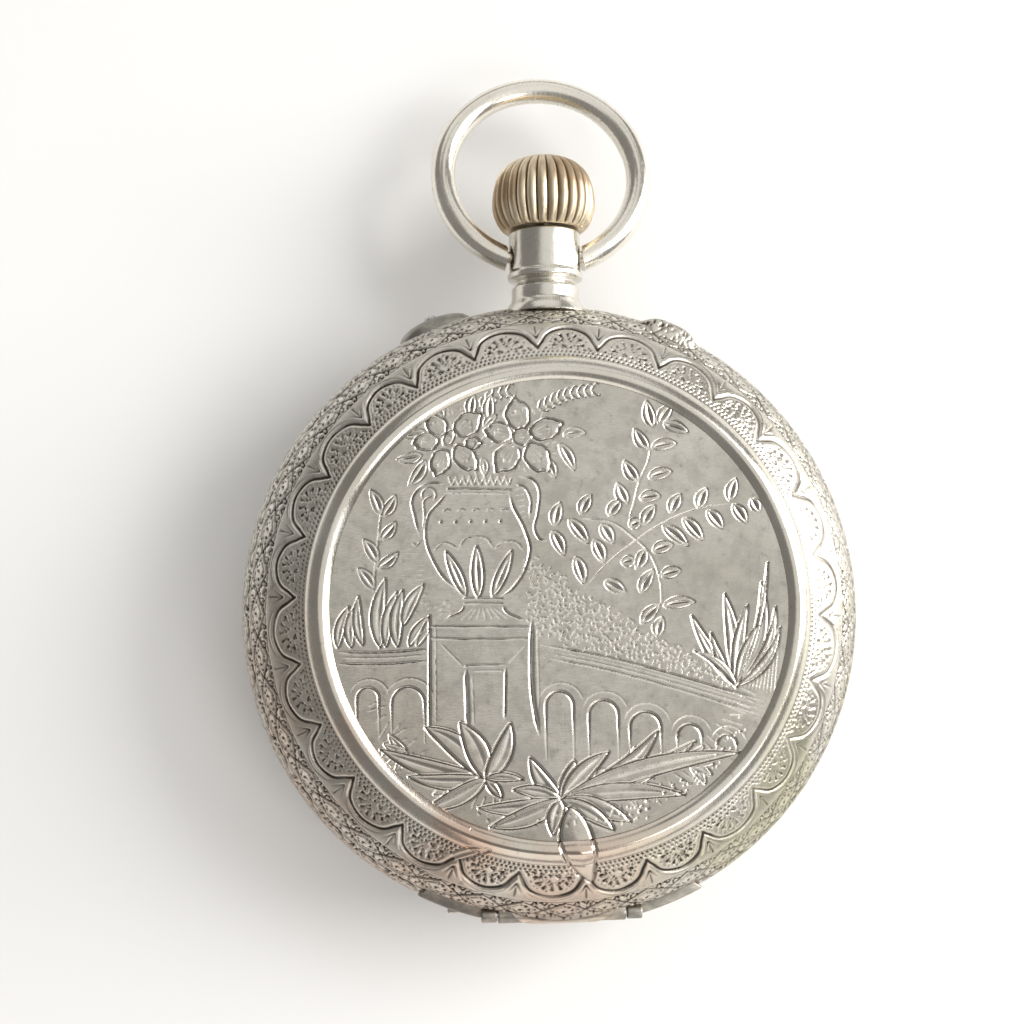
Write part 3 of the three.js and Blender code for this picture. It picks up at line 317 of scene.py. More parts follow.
def engrave_flowers(e):
    """Two flowers over the urn, with their leaves and two fern fronds."""
    left, right = (-5.8, 8.9), (-1.9, 9.0)
    for start, end, rows in (((-4.3, 10.3), (-2.3, 11.5), 6), ((-1.0, 10.5), (2.2, 11.5), 9)):
        line = evenly(smooth([start, ((start[0] + end[0]) / 2, end[1] - 0.25), end]), rows + 1)
        for at, ahead in zip(line, line[1:]):
            u = (ahead - at) / np.linalg.norm(ahead - at)
            n = np.array([-u[1], u[0]])
            for side in (-1, 1):
                e.groove(
                    [at, at + u * 0.3 + n * side * 0.32, at + u * 0.52 + n * side * 0.26], 0.15, lean=0.3
                )
    rows = (
        ((-6.9, 9.3), (-8.3, 9.2), 0.5), ((-7.2, 8.1), (-8.5, 7.9), 0.55), ((-7.0, 7.8), (-7.9, 6.5), 0.6),
        ((-6.0, 10.1), (-6.6, 11.0), 0.6), ((-4.6, 10.2), (-4.4, 11.3), 0.55),
        ((-3.6, 9.9), (-3.5, 11.3), 0.6),
        ((0.3, 9.1), (1.5, 9.2), 0.5), ((0.1, 8.6), (0.85, 7.2), 0.55), ((-0.6, 7.8), (-0.2, 6.8), 0.5),
        ((-3.9, 9.6), (-3.2, 10.2), 0.4), ((-4.0, 7.9), (-3.9, 7.0), 0.4),
    )
    leaves(e, rows, bend=0.06)
    for middle, count in ((left, 60), (right, 70), ((-3.9, 8.4), 24)):
        for _ in range(count):
            turn, near = rng.uniform(0, TAU), rng.uniform(0.5, 1.95)
            x, y = middle[0] + near * math.cos(turn), middle[1] + near * math.sin(turn) * 0.85
            e.groove([(x, y), (x + 0.3 * math.cos(turn + 0.5), y + 0.3 * math.sin(turn + 0.5))], 0.09, 0.03)
    petals = (
        (38, 1.3, 1.5, 1.15), (128, 0.95, 1.15, 1.0), (185, 1.15, 1.2, 0.95), (250, 1.25, 1.3, 1.0),
        (312, 1.3, 1.5, 1.05),
    )
    bloom(e, left, petals)
    e.petal((-4.5, 8.7), 0, 0.75, 0.6)
    e.petal((left[0] + 0.05, left[1] + 0.1), 60, 0.85, 0.5, 0.08, 0.09)
    petals = (
        (100, 1.2, 1.5, 1.25), (168, 1.2, 1.35, 1.05), (18, 1.3, 1.6, 1.1), (233, 1.35, 1.55, 1.25),
        (306, 1.35, 1.6, 1.25),
    )
    bloom(e, right, petals)
    e.petal(right, 0, 0.95, 0.95, 0.07, 0.1)


def engrave_urn(e):
    """The urn with its gadroons, foot and two handles."""
    for k in range(9):
        x = -5.6 + 0.37 * k
        e.groove([(x - 0.17, 6.85), (x, 6.5), (x + 0.17, 6.9)], 0.13)
        e.wedge((x - 0.17, 6.95), (x - 0.17, 6.45), 0.16)
    left = [
        (-5.8, 6.2), (-6.3, 5.6), (-6.85, 5.0), (-7.05, 4.2), (-7.0, 3.4), (-6.65, 2.5), (-6.1, 1.6),
        (-5.1, 0.7)
    ]
    right = [
        (-2.65, 6.1), (-2.45, 5.3), (-2.0, 4.4), (-1.65, 3.4), (-1.65, 2.8), (-1.95, 1.9), (-2.6, 1.0),
        (-3.3, 0.55)
    ]
    e.groove([(-5.85, 6.3), (-2.55, 6.2)], 0.16, pointed=False)
    e.groove([(-5.8, 6.08), (-2.6, 5.98)], 0.1, pointed=False)
    e.groove(left, 0.17, lean=-0.3)
    e.groove(right, 0.2, lean=0.35)
    for k in range(5):
        e.groove([(-6.15 + 0.76 * k, 5.12), (-5.9 + 0.76 * k, 5.2), (-5.7 + 0.76 * k, 5.12)], 0.13)
        e.dot(-6.25 + 0.78 * k, 4.55, 0.13, 0.06)
    for start, peak, end in (
        ((-6.7, 3.0), 3.45, (-5.35, 3.1)), ((-5.35, 3.1), 3.75, (-3.5, 3.05)),
        ((-3.5, 3.05), 3.5, (-1.9, 2.9))
    ):
        middle = (start[0] + end[0]) / 2
        e.groove(
            [start, (start[0] + 0.35, peak - 0.12), (middle, peak), (end[0] - 0.35, peak - 0.12), end], 0.12
        )
    rows = (
        ((-5.0, 0.7), (-6.0, 3.0), 0.55), ((-4.35, 0.6), (-4.4, 3.25), 0.62),
        ((-3.6, 0.65), (-2.55, 3.0), 0.55)
    )
    leaves(e, rows, rib=0.9, line=0.14)
    e.groove([(-5.1, 0.55), (-3.1, 0.5)], 0.15, pointed=False)
    e.groove([(-5.1, 0.28), (-3.1, 0.23)], 0.13, pointed=False)
    e.groove([(-5.1, 0.15), (-5.3, -0.15), (-6.1, -0.5)], 0.16)
    e.groove([(-3.1, 0.1), (-2.8, -0.3), (-2.0, -0.65)], 0.16)
    for k in range(7):
        e.groove([(-4.6 + 0.17 * k, 0.05), (-5.3 + 0.42 * k, -0.6)], 0.08)
    e.groove(arc((-6.85, 6.0), 0.36, -60, 230), 0.14)
    e.groove(
        [(-6.0, 6.55), (-6.7, 6.6), (-7.35, 6.35), (-7.75, 5.7), (-7.6, 4.8), (-7.35, 3.7)], 0.17, lean=-0.2
    )
    e.groove([(-6.5, 6.0), (-7.1, 5.7), (-7.1, 4.9), (-7.2, 4.1)], 0.14)
    e.groove([(-7.3, 3.6), (-7.55, 3.35), (-7.8, 3.5)], 0.12)
    e.groove([(-2.3, 6.5), (-1.8, 6.3), (-1.5, 5.6), (-1.6, 4.7)], 0.16)
    e.groove(
        [(-2.1, 6.9), (-1.4, 6.75), (-1.05, 6.1), (-1.15, 5.0), (-1.35, 4.2), (-1.1, 3.6), (-0.7, 3.5)], 0.17
    )
    for k in range(8):
        y = 6.2 - 0.3 * k
        e.groove([(-2.35 + 0.06 * k, y), (-1.75, y + 0.12)], 0.07)


def engrave_pedestal(e):
    """The urn's pedestal, with a sunk panel and fine shading."""
    e.groove([(-6.9, -0.35), (-7.0, -6.3)], 0.2, lean=-0.5, pointed=False)
    e.groove([(-6.6, -0.4), (-6.68, -6.0)], 0.09)
    e.groove([(-1.55, -0.5), (-1.62, -4.0), (-1.3, -6.6)], 0.34, 0.07, lean=-0.55)
    e.groove([(-1.3, -0.6), (-1.3, -5.6)], 0.09)
    e.groove([(-6.8, -0.9), (-1.8, -1.0)], 0.14, pointed=False)
    e.groove([(-6.8, -1.5), (-4.4, -1.62), (-1.85, -1.6)], 0.14, pointed=False)
    e.groove([(-6.4, -1.75), (-5.2, -3.0)], 0.09)
    e.groove([(-1.9, -1.9), (-2.9, -2.95)], 0.08)
    e.groove([(-5.2, -3.05), (-4.8, -2.95), (-2.85, -2.95)], 0.13)
    e.groove([(-4.7, -3.25), (-2.95, -3.25)], 0.08)
    e.groove([(-5.05, -3.1), (-5.0, -6.3)], 0.32, 0.065, lean=-0.4)
    e.groove([(-4.75, -3.3), (-4.7, -6.2)], 0.08)
    e.groove([(-3.0, -3.0), (-3.1, -5.8)], 0.18, lean=0.3)
    for k in range(34):
        x = -6.5 + 0.145 * k
        e.groove([(x, -1.75 - 0.02 * (k % 3)), (x - 0.02, -2.6 - 0.25 * rng.random())], 0.05, 0.006)


def engrave_arch(e, left, right, top, foot, width=0.17):
    """A round-headed opening in the wall, with a thinner arc over it."""
    middle, radius = (left + right) / 2, (right - left) / 2
    crown = arc((middle, top - radius), radius, 180, 0, 9)
    e.groove(
        [(left, foot), (left, (foot + top) / 2), *crown, (right, (foot + top) / 2), (right, foot)], width,
        lean=-0.2, per=3
    )
    e.groove(arc((middle + 0.1, top - radius), radius + 0.45, 165, 5, 9), 0.09, per=3)


def engrave_walls(e):
    """A level wall at the left and a sloping one at the right, both with arches."""
    for y, width in ((-2.15, 0.17), (-2.42, 0.08), (-2.75, 0.16)):
        e.groove([(-11.6, y), (-9.3, y - 0.06), (-7.0, y + 0.06)], width)
    engrave_arch(e, -10.75, -9.6, -4.0, -6.7)
    engrave_arch(e, -8.95, -7.25, -4.0, -6.9)
    rail = np.array([(-1.15, -1.95), (2.0, -2.6), (5.2, -3.45), (8.3, -4.4), (10.7, -5.15)])
    for drop, width in ((0.0, 0.16), (0.2, 0.08), (0.38, 0.1), (0.62, 0.12)):
        e.groove(rail - [(0, drop + 0.06 * drop * k) for k in range(5)], width)
    for left, right, top, foot in (
        (-0.95, 0.5, -4.4, -7.9), (1.3, 2.85, -4.9, -8.1), (3.45, 5.1, -5.55, -8.2),
        (5.95, 7.25, -6.25, -7.8),
        (8.05, 9.1, -6.85, -7.8),
    ):
        engrave_arch(e, left, right, top, foot, 0.19)
    for k in range(60):
        x, y = rng.uniform(-0.8, 8.0), rng.uniform(-7.5, -5.0)
        e.groove([(x, y), (x, y - 0.6)], 0.05, 0.006)


def hill_top(x):
    """Where the dotted hill ends above, at each x."""
    return np.interp(
        x, [-2.1, -1.2, 0.8, 2.1, 3.1, 4.3, 6.8, 9.4], [2.7, 2.6, 1.1, 0.3, -0.3, -1.3, -2.5, -4.4]
    )


def hill_foot(x):
    """Where the dotted hill meets the wall, at each x."""
    return np.interp(x, [-2.1, -1.1, 2.0, 5.2, 8.3, 9.4], [-0.6, -1.75, -2.45, -3.3, -4.2, -4.5])


def engrave_hill(e):
    """Ground covered with little punched curls."""
    pitch = 0.29
    for i in range(42):
        for j in range(30):
            x = -2.0 + pitch * (i + 0.5 * (j % 2)) + rng.uniform(-0.08, 0.08)
            y = 2.8 - pitch * 0.86 * j + rng.uniform(-0.08, 0.08)
            if x > -0.9 - 0.5 * y and hill_foot(x) + 0.05 < y < hill_top(x) - 0.05 or (
                -1.75 < x < 0.2 and -1.6 < y < 1.8 and y < hill_top(x)
            ):
                turn = rng.uniform(0, 360)
                e.groove(arc((x, y), 0.1, turn, turn + 200, 5), 0.13, 0.035, per=2)
    for _ in range(46):
        x, y = rng.uniform(-7.9, -5.4), rng.uniform(-0.4, 1.3)
        if y < 0.9 - 0.35 * (x + 7.9):
            e.groove([(x, y), (x + 0.22, y + 0.16)], 0.09)


def engrave_branches(e):
    """Three stems in the sky, and their leaves as the x and y of each base and tip."""
    e.groove(
        [(1.2, 0.95), (2.1, 1.9), (3.0, 2.7), (4.1, 3.5), (5.2, 4.2), (6.6, 4.85), (7.9, 5.2), (9.4, 5.4)],
        0.12
    )
    e.groove([(3.6, 4.3), (3.95, 5.4), (4.3, 6.6), (4.8, 7.7), (4.95, 8.6)], 0.12)
    e.groove(
        [(0.6, 4.6), (1.8, 4.6), (2.9, 4.35), (3.9, 3.6), (4.7, 2.8), (5.2, 1.6), (5.3, 0.3), (5.1, -0.4)],
        0.12
    )
    pairs = (
        (-0.3, 4.3, 0.05, 5.5), (1.1, 4.9, 1.7, 5.9), (0.5, 4.6, 1.5, 3.3), (-0.4, 4.0, 0.2, 2.7),
        (0.8, 2.6, 1.2, 1.2), (1.8, 3.5, 2.3, 2.3), (2.2, 4.3, 2.8, 3.3), (2.6, 4.8, 3.3, 5.6),
        (3.6, 5.4, 3.1, 6.5), (4.3, 5.7, 5.4, 5.8), (4.4, 4.3, 5.1, 5.3), (3.7, 4.2, 4.3, 4.45),
        (4.2, 6.6, 3.5, 7.7), (4.8, 6.8, 6.05, 7.1), (4.8, 8.3, 4.1, 9.4), (5.0, 8.4, 6.35, 8.6),
        (5.7, 9.65, 7.0, 9.2), (5.1, 9.5, 4.8, 10.9), (5.4, 9.7, 6.2, 10.7), (5.9, 4.9, 6.5, 5.9),
        (7.4, 5.15, 7.9, 6.2), (9.1, 5.5, 9.5, 6.7), (7.9, 5.0, 8.7, 4.0), (9.3, 5.3, 10.0, 4.3),
        (6.6, 4.6, 7.6, 3.4), (5.5, 4.2, 6.8, 3.1), (4.9, 2.9, 6.0, 3.2), (4.5, 2.95, 4.0, 1.95),
        (3.9, 2.4, 3.2, 2.3), (5.3, 1.6, 6.4, 1.8), (4.2, 0.7, 4.9, 1.9), (2.3, 1.3, 3.4, 0.7),
        (5.4, 0.0, 7.1, 0.15), (4.2, -0.9, 5.2, 0.05), (5.0, -1.6, 5.3, -0.6), (10.3, 5.6, 10.7, 4.9),
    )
    for x0, y0, x1, y1 in pairs:
        e.leaf((x0, y0), (x1, y1), 0.62, bend=0.04, rib=1.15, line=0.11)


def engrave_left_garden(e):
    """A stem with leaves, a clump of blades, and shading beside the urn."""
    e.groove([(-9.3, 5.9), (-9.45, 4.4), (-9.65, 2.7), (-9.85, 0.6)], 0.13)
    for base, tip in (
        ((-9.4, 5.0), (-9.9, 6.3)), ((-9.3, 4.9), (-8.6, 6.0)), ((-9.4, 3.7), (-8.6, 4.6)),
        ((-9.6, 2.2), (-8.5, 3.0)),
        ((-9.6, 2.5), (-10.3, 3.7)), ((-9.8, 1.1), (-10.6, 2.2)),
    ):
        e.leaf(base, tip, 0.55, bend=-0.06)
    rows = (
        ((-11.7, -1.9), (-11.1, 0.2), 0.5), ((-11.0, -1.9), (-10.9, 0.1), 0.5),
        ((-10.4, -1.8), (-10.6, 0.7), 0.5),
        ((-9.5, -1.9), (-9.2, 1.6), 0.75), ((-9.2, -1.9), (-8.6, 0.9), 0.55),
        ((-8.6, -1.9), (-8.3, 1.0), 0.65),
        ((-8.3, -0.8), (-7.2, 1.3), 0.6), ((-8.0, -1.9), (-7.0, -0.4), 0.4),
        ((-7.6, -1.9), (-6.9, -1.0), 0.3),
    )
    leaves(e, rows, bend=0.07, rib=0.7, line=0.13)
    for k in range(46):
        y = 6.3 - 0.125 * k
        x = -8.4 + 0.15 * math.sin(k) + 0.2 * rng.random()
        e.groove([(x, y), (x + 0.9 + 0.5 * rng.random(), y + 0.02)], 0.06, 0.012)


def engrave_right_garden(e):
    """A clump of blades behind the sloping wall."""
    rows = (
        (6.9, -0.6, 0.55, 0.04), (7.9, -1.5, 0.4, 0.06), (8.7, 0.5, 0.75, -0.03), (10.7, 1.1, 0.7, -0.1),
        (11.05, 2.1, 0.22, -0.05), (9.9, -0.1, 0.65, 0.05), (11.4, -0.2, 0.5, -0.12),
        (11.6, -1.3, 0.5, -0.12),
        (10.4, -1.2, 0.5, 0.06), (7.0, -2.4, 0.4, -0.1),
    )
    spray(e, (9.2, -4.3), rows, rib=0.75, line=0.14)
    for k in range(9):
        e.groove([(9.6 + 0.2 * k, -4.5 - 0.05 * k), (10.3 + 0.17 * k, -2.9 + 0.24 * k)], 0.09)


def engrave_foreground(e):
    """Broad leaves at the bottom, some of which run out over the ring."""
    for k in range(62):
        a = math.radians(206 + 2.15 * k)
        inner, outer = 10.0 + 0.8 * rng.random(), 11.2 + 0.5 * rng.random()
        lean = 0.06 * (rng.random() - 0.3)
        start = (inner * math.cos(a), inner * math.sin(a))
        e.groove([start, (outer * math.cos(a + lean), outer * math.sin(a + lean))], 0.1, 0.03)
    for x, y, bearing, count in (
        (-8.2, -7.3, 200, 5), (3.5, -8.6, 30, 6), (6.6, -8.4, 15, 5), (-5.8, -8.9, 225, 5),
        (1.2, -9.2, 60, 4)
    ):
        for k in range(count):
            a = math.radians(bearing + 26 * (k - count / 2))
            e.leaf(
                (x, y), (x + 1.25 * math.cos(a), y + 1.25 * math.sin(a)), 0.42, bend=0.08, rib=0.8, line=0.11
            )
    rows = (
        (-9.5, -7.2, 0.9, 0.05), (-8.1, -8.6, 0.8, 0.06), (-7.2, -10.3, 0.9, 0.05), (-7.2, -6.1, 1.15, -0.08),
        (-5.4, -5.9, 1.15, -0.06), (-2.8, -6.0, 0.95, -0.08), (-3.3, -9.8, 0.5, 0.0),
        (-2.2, -8.9, 0.45, 0.05),
    )
    spray(e, (-4.1, -8.8), rows, rib=0.6, line=0.17, raised=0.05)
    middle = (-0.2, -10.0)
    rows = (
        (-1.8, -7.8, 0.8, 0.08), (0.5, -8.0, 0.9, -0.05), (2.3, -7.6, 0.9, 0.06), (4.9, -6.6, 1.0, -0.1),
        (6.8, -7.2, 0.9, -0.06), (9.2, -7.8, 1.0, 0.05), (6.2, -9.9, 0.9, 0.05), (3.4, -11.2, 1.0, 0.04),
        (-2.7, -9.4, 0.7, -0.05), (-4.5, -10.3, 0.8, 0.05), (-3.9, -11.3, 1.0, 0.05),
        (-0.7, -11.8, 0.8, -0.06),
    )
    spray(e, middle, rows, rib=0.6, line=0.17, raised=0.05)
    e.leaf(middle, (2.5, -11.6), 0.8, bend=0.05, rib=0.6, line=0.2, raised=0.08)
    e.leaf((0.25, -10.4), (1.4, -14.4), 1.7, bend=-0.05, rib=0, line=0.2, raised=0.17)
    e.groove([(-5.9, -10.7), (-6.2, -11.9), (-6.5, -13.3)], 0.15)
    e.leaf((-6.5, -13.2), (-4.0, -12.5), 0.55, bend=0.08, line=0.13)
    e.leaf((-6.5, -13.0), (-7.3, -11.5), 0.4, line=0.1)
    for _ in range(40):
        x, y = rng.uniform(-5, 6.5), rng.uniform(-11.4, -10.6)
        e.dot(x, y, 0.1, 0.03)
    for _ in range(60):
        a, r = math.radians(rng.uniform(280, 330)), rng.uniform(10.9, 11.7)
        e.dot(r * math.cos(a), r * math.sin(a), 0.1, 0.035)


def engrave_scene():
    """The whole picture. Each motif hides or cuts the ones before it."""
    e = Engraving((-12.4, -14.6), (12.4, 12.4), 0.036)
    for motif in (
        engrave_hill, engrave_branches, engrave_walls, engrave_left_garden, engrave_right_garden,
        engrave_flowers, engrave_urn, engrave_pedestal, engrave_foreground,
    ):
        motif(e)
    return e


# The cover's border runs outwards from the ring: two rows of dots, fans under scallops, then lozenges.
FANS = 26
LOZENGES = 44
FAN_RADIUS = 14.7
FAN_PITCH = TAU * FAN_RADIUS / FANS
LOZENGE_RADIUS = 16.6
LOZENGE_PITCH = TAU * LOZENGE_RADIUS / LOZENGES
LATTICE_START = 2.42  # where the lozenges begin, over the metal from the ring's foot


def engrave_fan():
    """One repeat of the scalloped border. y runs outwards over the metal from the ring's foot."""
    half = FAN_PITCH / 2
    e = Engraving((-half - 0.1, -0.1), (half + 0.1, 2.7), 0.025)
    for row in (0.12, 0.34):
        for k in range(-7, 8):
            e.dot((k + 0.5 * (row > 0.2)) * half / 6.5, row, 0.12, 0.075)
    centre = (0, 0.72)
    for _ in range(60):
        a, r = rng.uniform(0, math.pi), rng.uniform(0.3, 1.2)
        e.dot(centre[0] + r * math.cos(a), centre[1] + r * math.sin(a) * 0.95, 0.1, 0.05)
    for _ in range(40):
        e.dot(rng.uniform(-half, half), rng.uniform(0.45, 0.75), 0.1, 0.05)
    for k in range(7):
        a = math.radians(5 + 28.3 * k)
        u = np.array([math.cos(a), math.sin(a) * 0.95])
        e.wedge(centre + u * 0.95, centre + u * 0.25, 0.34)
    scallop = [(-half, 0.62), (-1.5, 1.0), (-1.0, 1.7), (0, 2.03), (1.0, 1.7), (1.5, 1.0), (half, 0.62)]
    e.groove(scallop, 0.34, 0.13, lean=0.35, pointed=False)
    e.groove([(x, y + 0.32) for x, y in scallop], 0.12, 0.04, pointed=False)
    for side in (-1, 1):
        e.wedge((side * half, 1.35), (side * (half - 0.45), 2.1), 0.26)
        e.groove([(side * half, 1.5), (side * half, 2.3)], 0.14)
    return e


def engrave_lozenge(rows, edges):
    """One repeat of the lattice, with a row of lozenges at each height given. y runs over the metal."""
    half = LOZENGE_PITCH / 2
    e = Engraving((-half - 0.1, -0.3), (half + 0.1, 5.6), 0.028)
    for middle, tall in rows:
        for _ in range(int(150 * tall)):
            x, y = rng.uniform(-half, half), rng.uniform(-tall, tall)
            if abs(x) / half + abs(y) / tall > 1.0 or rng.random() < 0.35:
                e.dot(x, middle + y, rng.uniform(0.08, 0.15), 0.1)
        for scale, width in ((1.0, 0.2), (0.66, 0.12)):
            w, h = half * scale, tall * scale
            for sx, sy in ((1, 1), (1, -1), (-1, 1), (-1, -1)):
                bow = [(0, middle + sy * h), (sx * w * 0.42, middle + sy * h * 0.64), (sx * w, middle)]
                e.groove(bow, width, 0.4 * width, lean=0.3 * sx, pointed=False)
        for k in range(5):
            a = math.radians(90 * k + 45 * (k % 2))
            e.wedge((0, middle), (0.34 * half * math.cos(a), middle + 0.34 * tall * math.sin(a)), 0.14)
        for side in (-1, 1):
            for k in (-1, 0, 1):
                e.wedge((side * half, middle + 0.1 * k), (side * (half - 0.5), middle + 0.42 * k), 0.12)
    for edge in edges:
        e.groove([(-half, edge), (0, edge + 0.01), (half, edge)], 0.14, 0.06, pointed=False)
    return e


def wander(theta, along, seed):
    """Slow changes over the metal, from 0 to 1, that repeat round the case."""
    local = np.random.default_rng(seed)
    total = 0
    for waves in (3, 5, 9, 17):
        a, b = local.uniform(0, TAU, 2)
        total = total + np.sin(waves * theta + a + along * local.uniform(0.5, 1.6)) * np.cos(along * 1.3 + b)
    return 0.5 + total / 6


# ---------------------------------------------------------------- meshes


def outward(points, faces):
    """The same faces, turned so that they look outwards."""
    whole = np.array([f for f in faces if len(f) == 4])
    a, b, c, d = (points[whole[:, k]] for k in range(4))
    volume = np.sum(np.cross(a, b) * c) + np.sum(np.cross(a, c) * d)
    return faces if volume > 0 else [f[::-1] for f in faces]


def mesh_piece(name, body, material, points, faces, marks=None, clean=True, crease=None):
    """A piece of the watch from points in mm. `crease` marks the points joined by sharp edges."""
    points = np.asarray(points, float)
    faces = [list(f) for f in faces]
    mesh = bpy.data.meshes.new(name)
    mesh.from_pydata((points * MM).tolist(), [], faces if clean else outward(points, faces))
    if marks is not None:
        layer = mesh.attributes.new("tarnish_and_shade", "FLOAT", "POINT")
        layer.data.foreach_set("value", np.asarray(marks, np.float32).ravel())
    if clean:
        work = bmesh.new()
        work.from_mesh(mesh)
        bmesh.ops.remove_doubles(work, verts=work.verts, dist=2e-7)
        bmesh.ops.recalc_face_normals(work, faces=work.faces)
        work.to_mesh(mesh)
        work.free()
    mesh.polygons.foreach_set("use_smooth", [True] * len(mesh.polygons))
    if clean:
        mesh.set_sharp_from_angle(angle=math.radians(40))
    if crease is not None:
        ends = np.zeros(2 * len(mesh.edges), np.int32)
        mesh.edges.foreach_get("vertices", ends)
        ends = np.asarray(crease)[ends.reshape(-1, 2)]
        sharp = mesh.attributes.new("sharp_edge", "BOOLEAN", "EDGE")
        sharp.data.foreach_set("value", (ends[:, 0] > 0) & (ends[:, 0] == ends[:, 1]))
    mesh.materials.append(material)
    piece = bpy.data.objects.new(name, mesh)
    bpy.context.scene.collection.objects.link(piece)
    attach(piece, body)
    return piece


def click_spring():
    """The click's spring as a piece of its own: a steel copy of the CAD part, which is hidden."""
    source = frame["nodes"]["click_spring"]
    piece = bpy.data.objects.new("click_spring_strip", source.data.copy())
    piece.matrix_world = source.matrix_world
    bpy.context.scene.collection.objects.link(piece)
    piece.data.materials.clear()
    piece.data.materials.append(STEEL)
    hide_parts("click_spring")
    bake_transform(piece)


def quads(rows, columns, wrap_rows=False, wrap_columns=True):
    """Faces of a grid of points, stored row by row."""
    r = np.arange(rows if wrap_rows else rows - 1)
    c = np.arange(columns if wrap_columns else columns - 1)
    i, j = np.meshgrid(r, c, indexing="ij")
    up, over = (i + 1) % rows, (j + 1) % columns
    return np.stack(
        [i * columns + j, i * columns + over, up * columns + over, up * columns + j], -1
    ).reshape(-1, 4)


def turn_points(profile, theta):
    """Points of a profile of (radius, height) turned to each angle, one row for each point of the profile."""
    r, z = profile[:, 0][:, None], profile[:, 1][:, None]
    return np.stack([r * np.cos(theta), r * np.sin(theta), z + 0 * theta], -1)


def turned(name, body, material, outline, sides=160, place=None, radius=0.08, closed=True):
    """A piece of revolution round Z, then moved by `place`."""
    profile = softened(outline, radius, closed)
    theta = np.arange(sides) / sides * TAU
    points = turn_points(profile, theta).reshape(-1, 3)
    if place is not None:
        points = np.array([place @ Vector(p) for p in points])
    return mesh_piece(name, body, material, points, quads(len(profile), sides, wrap_rows=closed))


ALONG_X = Matrix.Rotation(math.pi / 2, 4, "Y")
ALONG_Y = Matrix.Rotation(-math.pi / 2, 4, "X")


def worked_piece(name, body, material, work):
    """A piece from a finished bmesh."""
    points = [v.co[:] for v in work.verts]
    faces = [[v.index for v in f.verts] for f in work.faces]
    work.free()
    return mesh_piece(name, body, material, points, faces)


def block(name, body, material, low, high, bevel=0.1):
    """A box with softened edges."""
    work = bmesh.new()
    bmesh.ops.create_cube(work, size=1)
    low, high = np.array(low, float), np.array(high, float)
    for v in work.verts:
        v.co = Vector(low + (np.array(v.co) + 0.5) * (high - low))
    bmesh.ops.bevel(work, geom=work.edges[:], offset=bevel, segments=3, profile=0.5, affect="EDGES")
    return worked_piece(name, body, material, work)


def plate(name, body, material, outline, low, high, bevel=0.08):
    """A flat plate with softened edges, from an outline seen from above."""
    work = bmesh.new()
    face = work.faces.new([work.verts.new((x, y, low)) for x, y in outline])
    top = bmesh.ops.extrude_face_region(work, geom=[face])["geom"]
    for v in top:
        if isinstance(v, bmesh.types.BMVert):
            v.co.z = high
    bmesh.ops.recalc_face_normals(work, faces=work.faces)
    edges = [e for e in work.edges if len(e.link_faces) == 2 and e.calc_face_angle(0) > 0.9]
    bmesh.ops.bevel(
        work, geom=edges, offset=bevel, segments=2, profile=0.5, affect="EDGES", clamp_overlap=True
    )
    return worked_piece(name, body, material, work)


def knuckle(name, body, material, hinge, start, end, radius=BARREL_RADIUS):
    """One barrel of a hinge along X, with softened ends."""
    outline = [(BARREL_BORE, start), (radius, start), (radius, end), (BARREL_BORE, end)]
    place = Matrix.Translation((0, *hinge)) @ ALONG_X
    return turned(name, body, material, outline, 48, place, radius=0.1)


# ---------------------------------------------------------------- materials


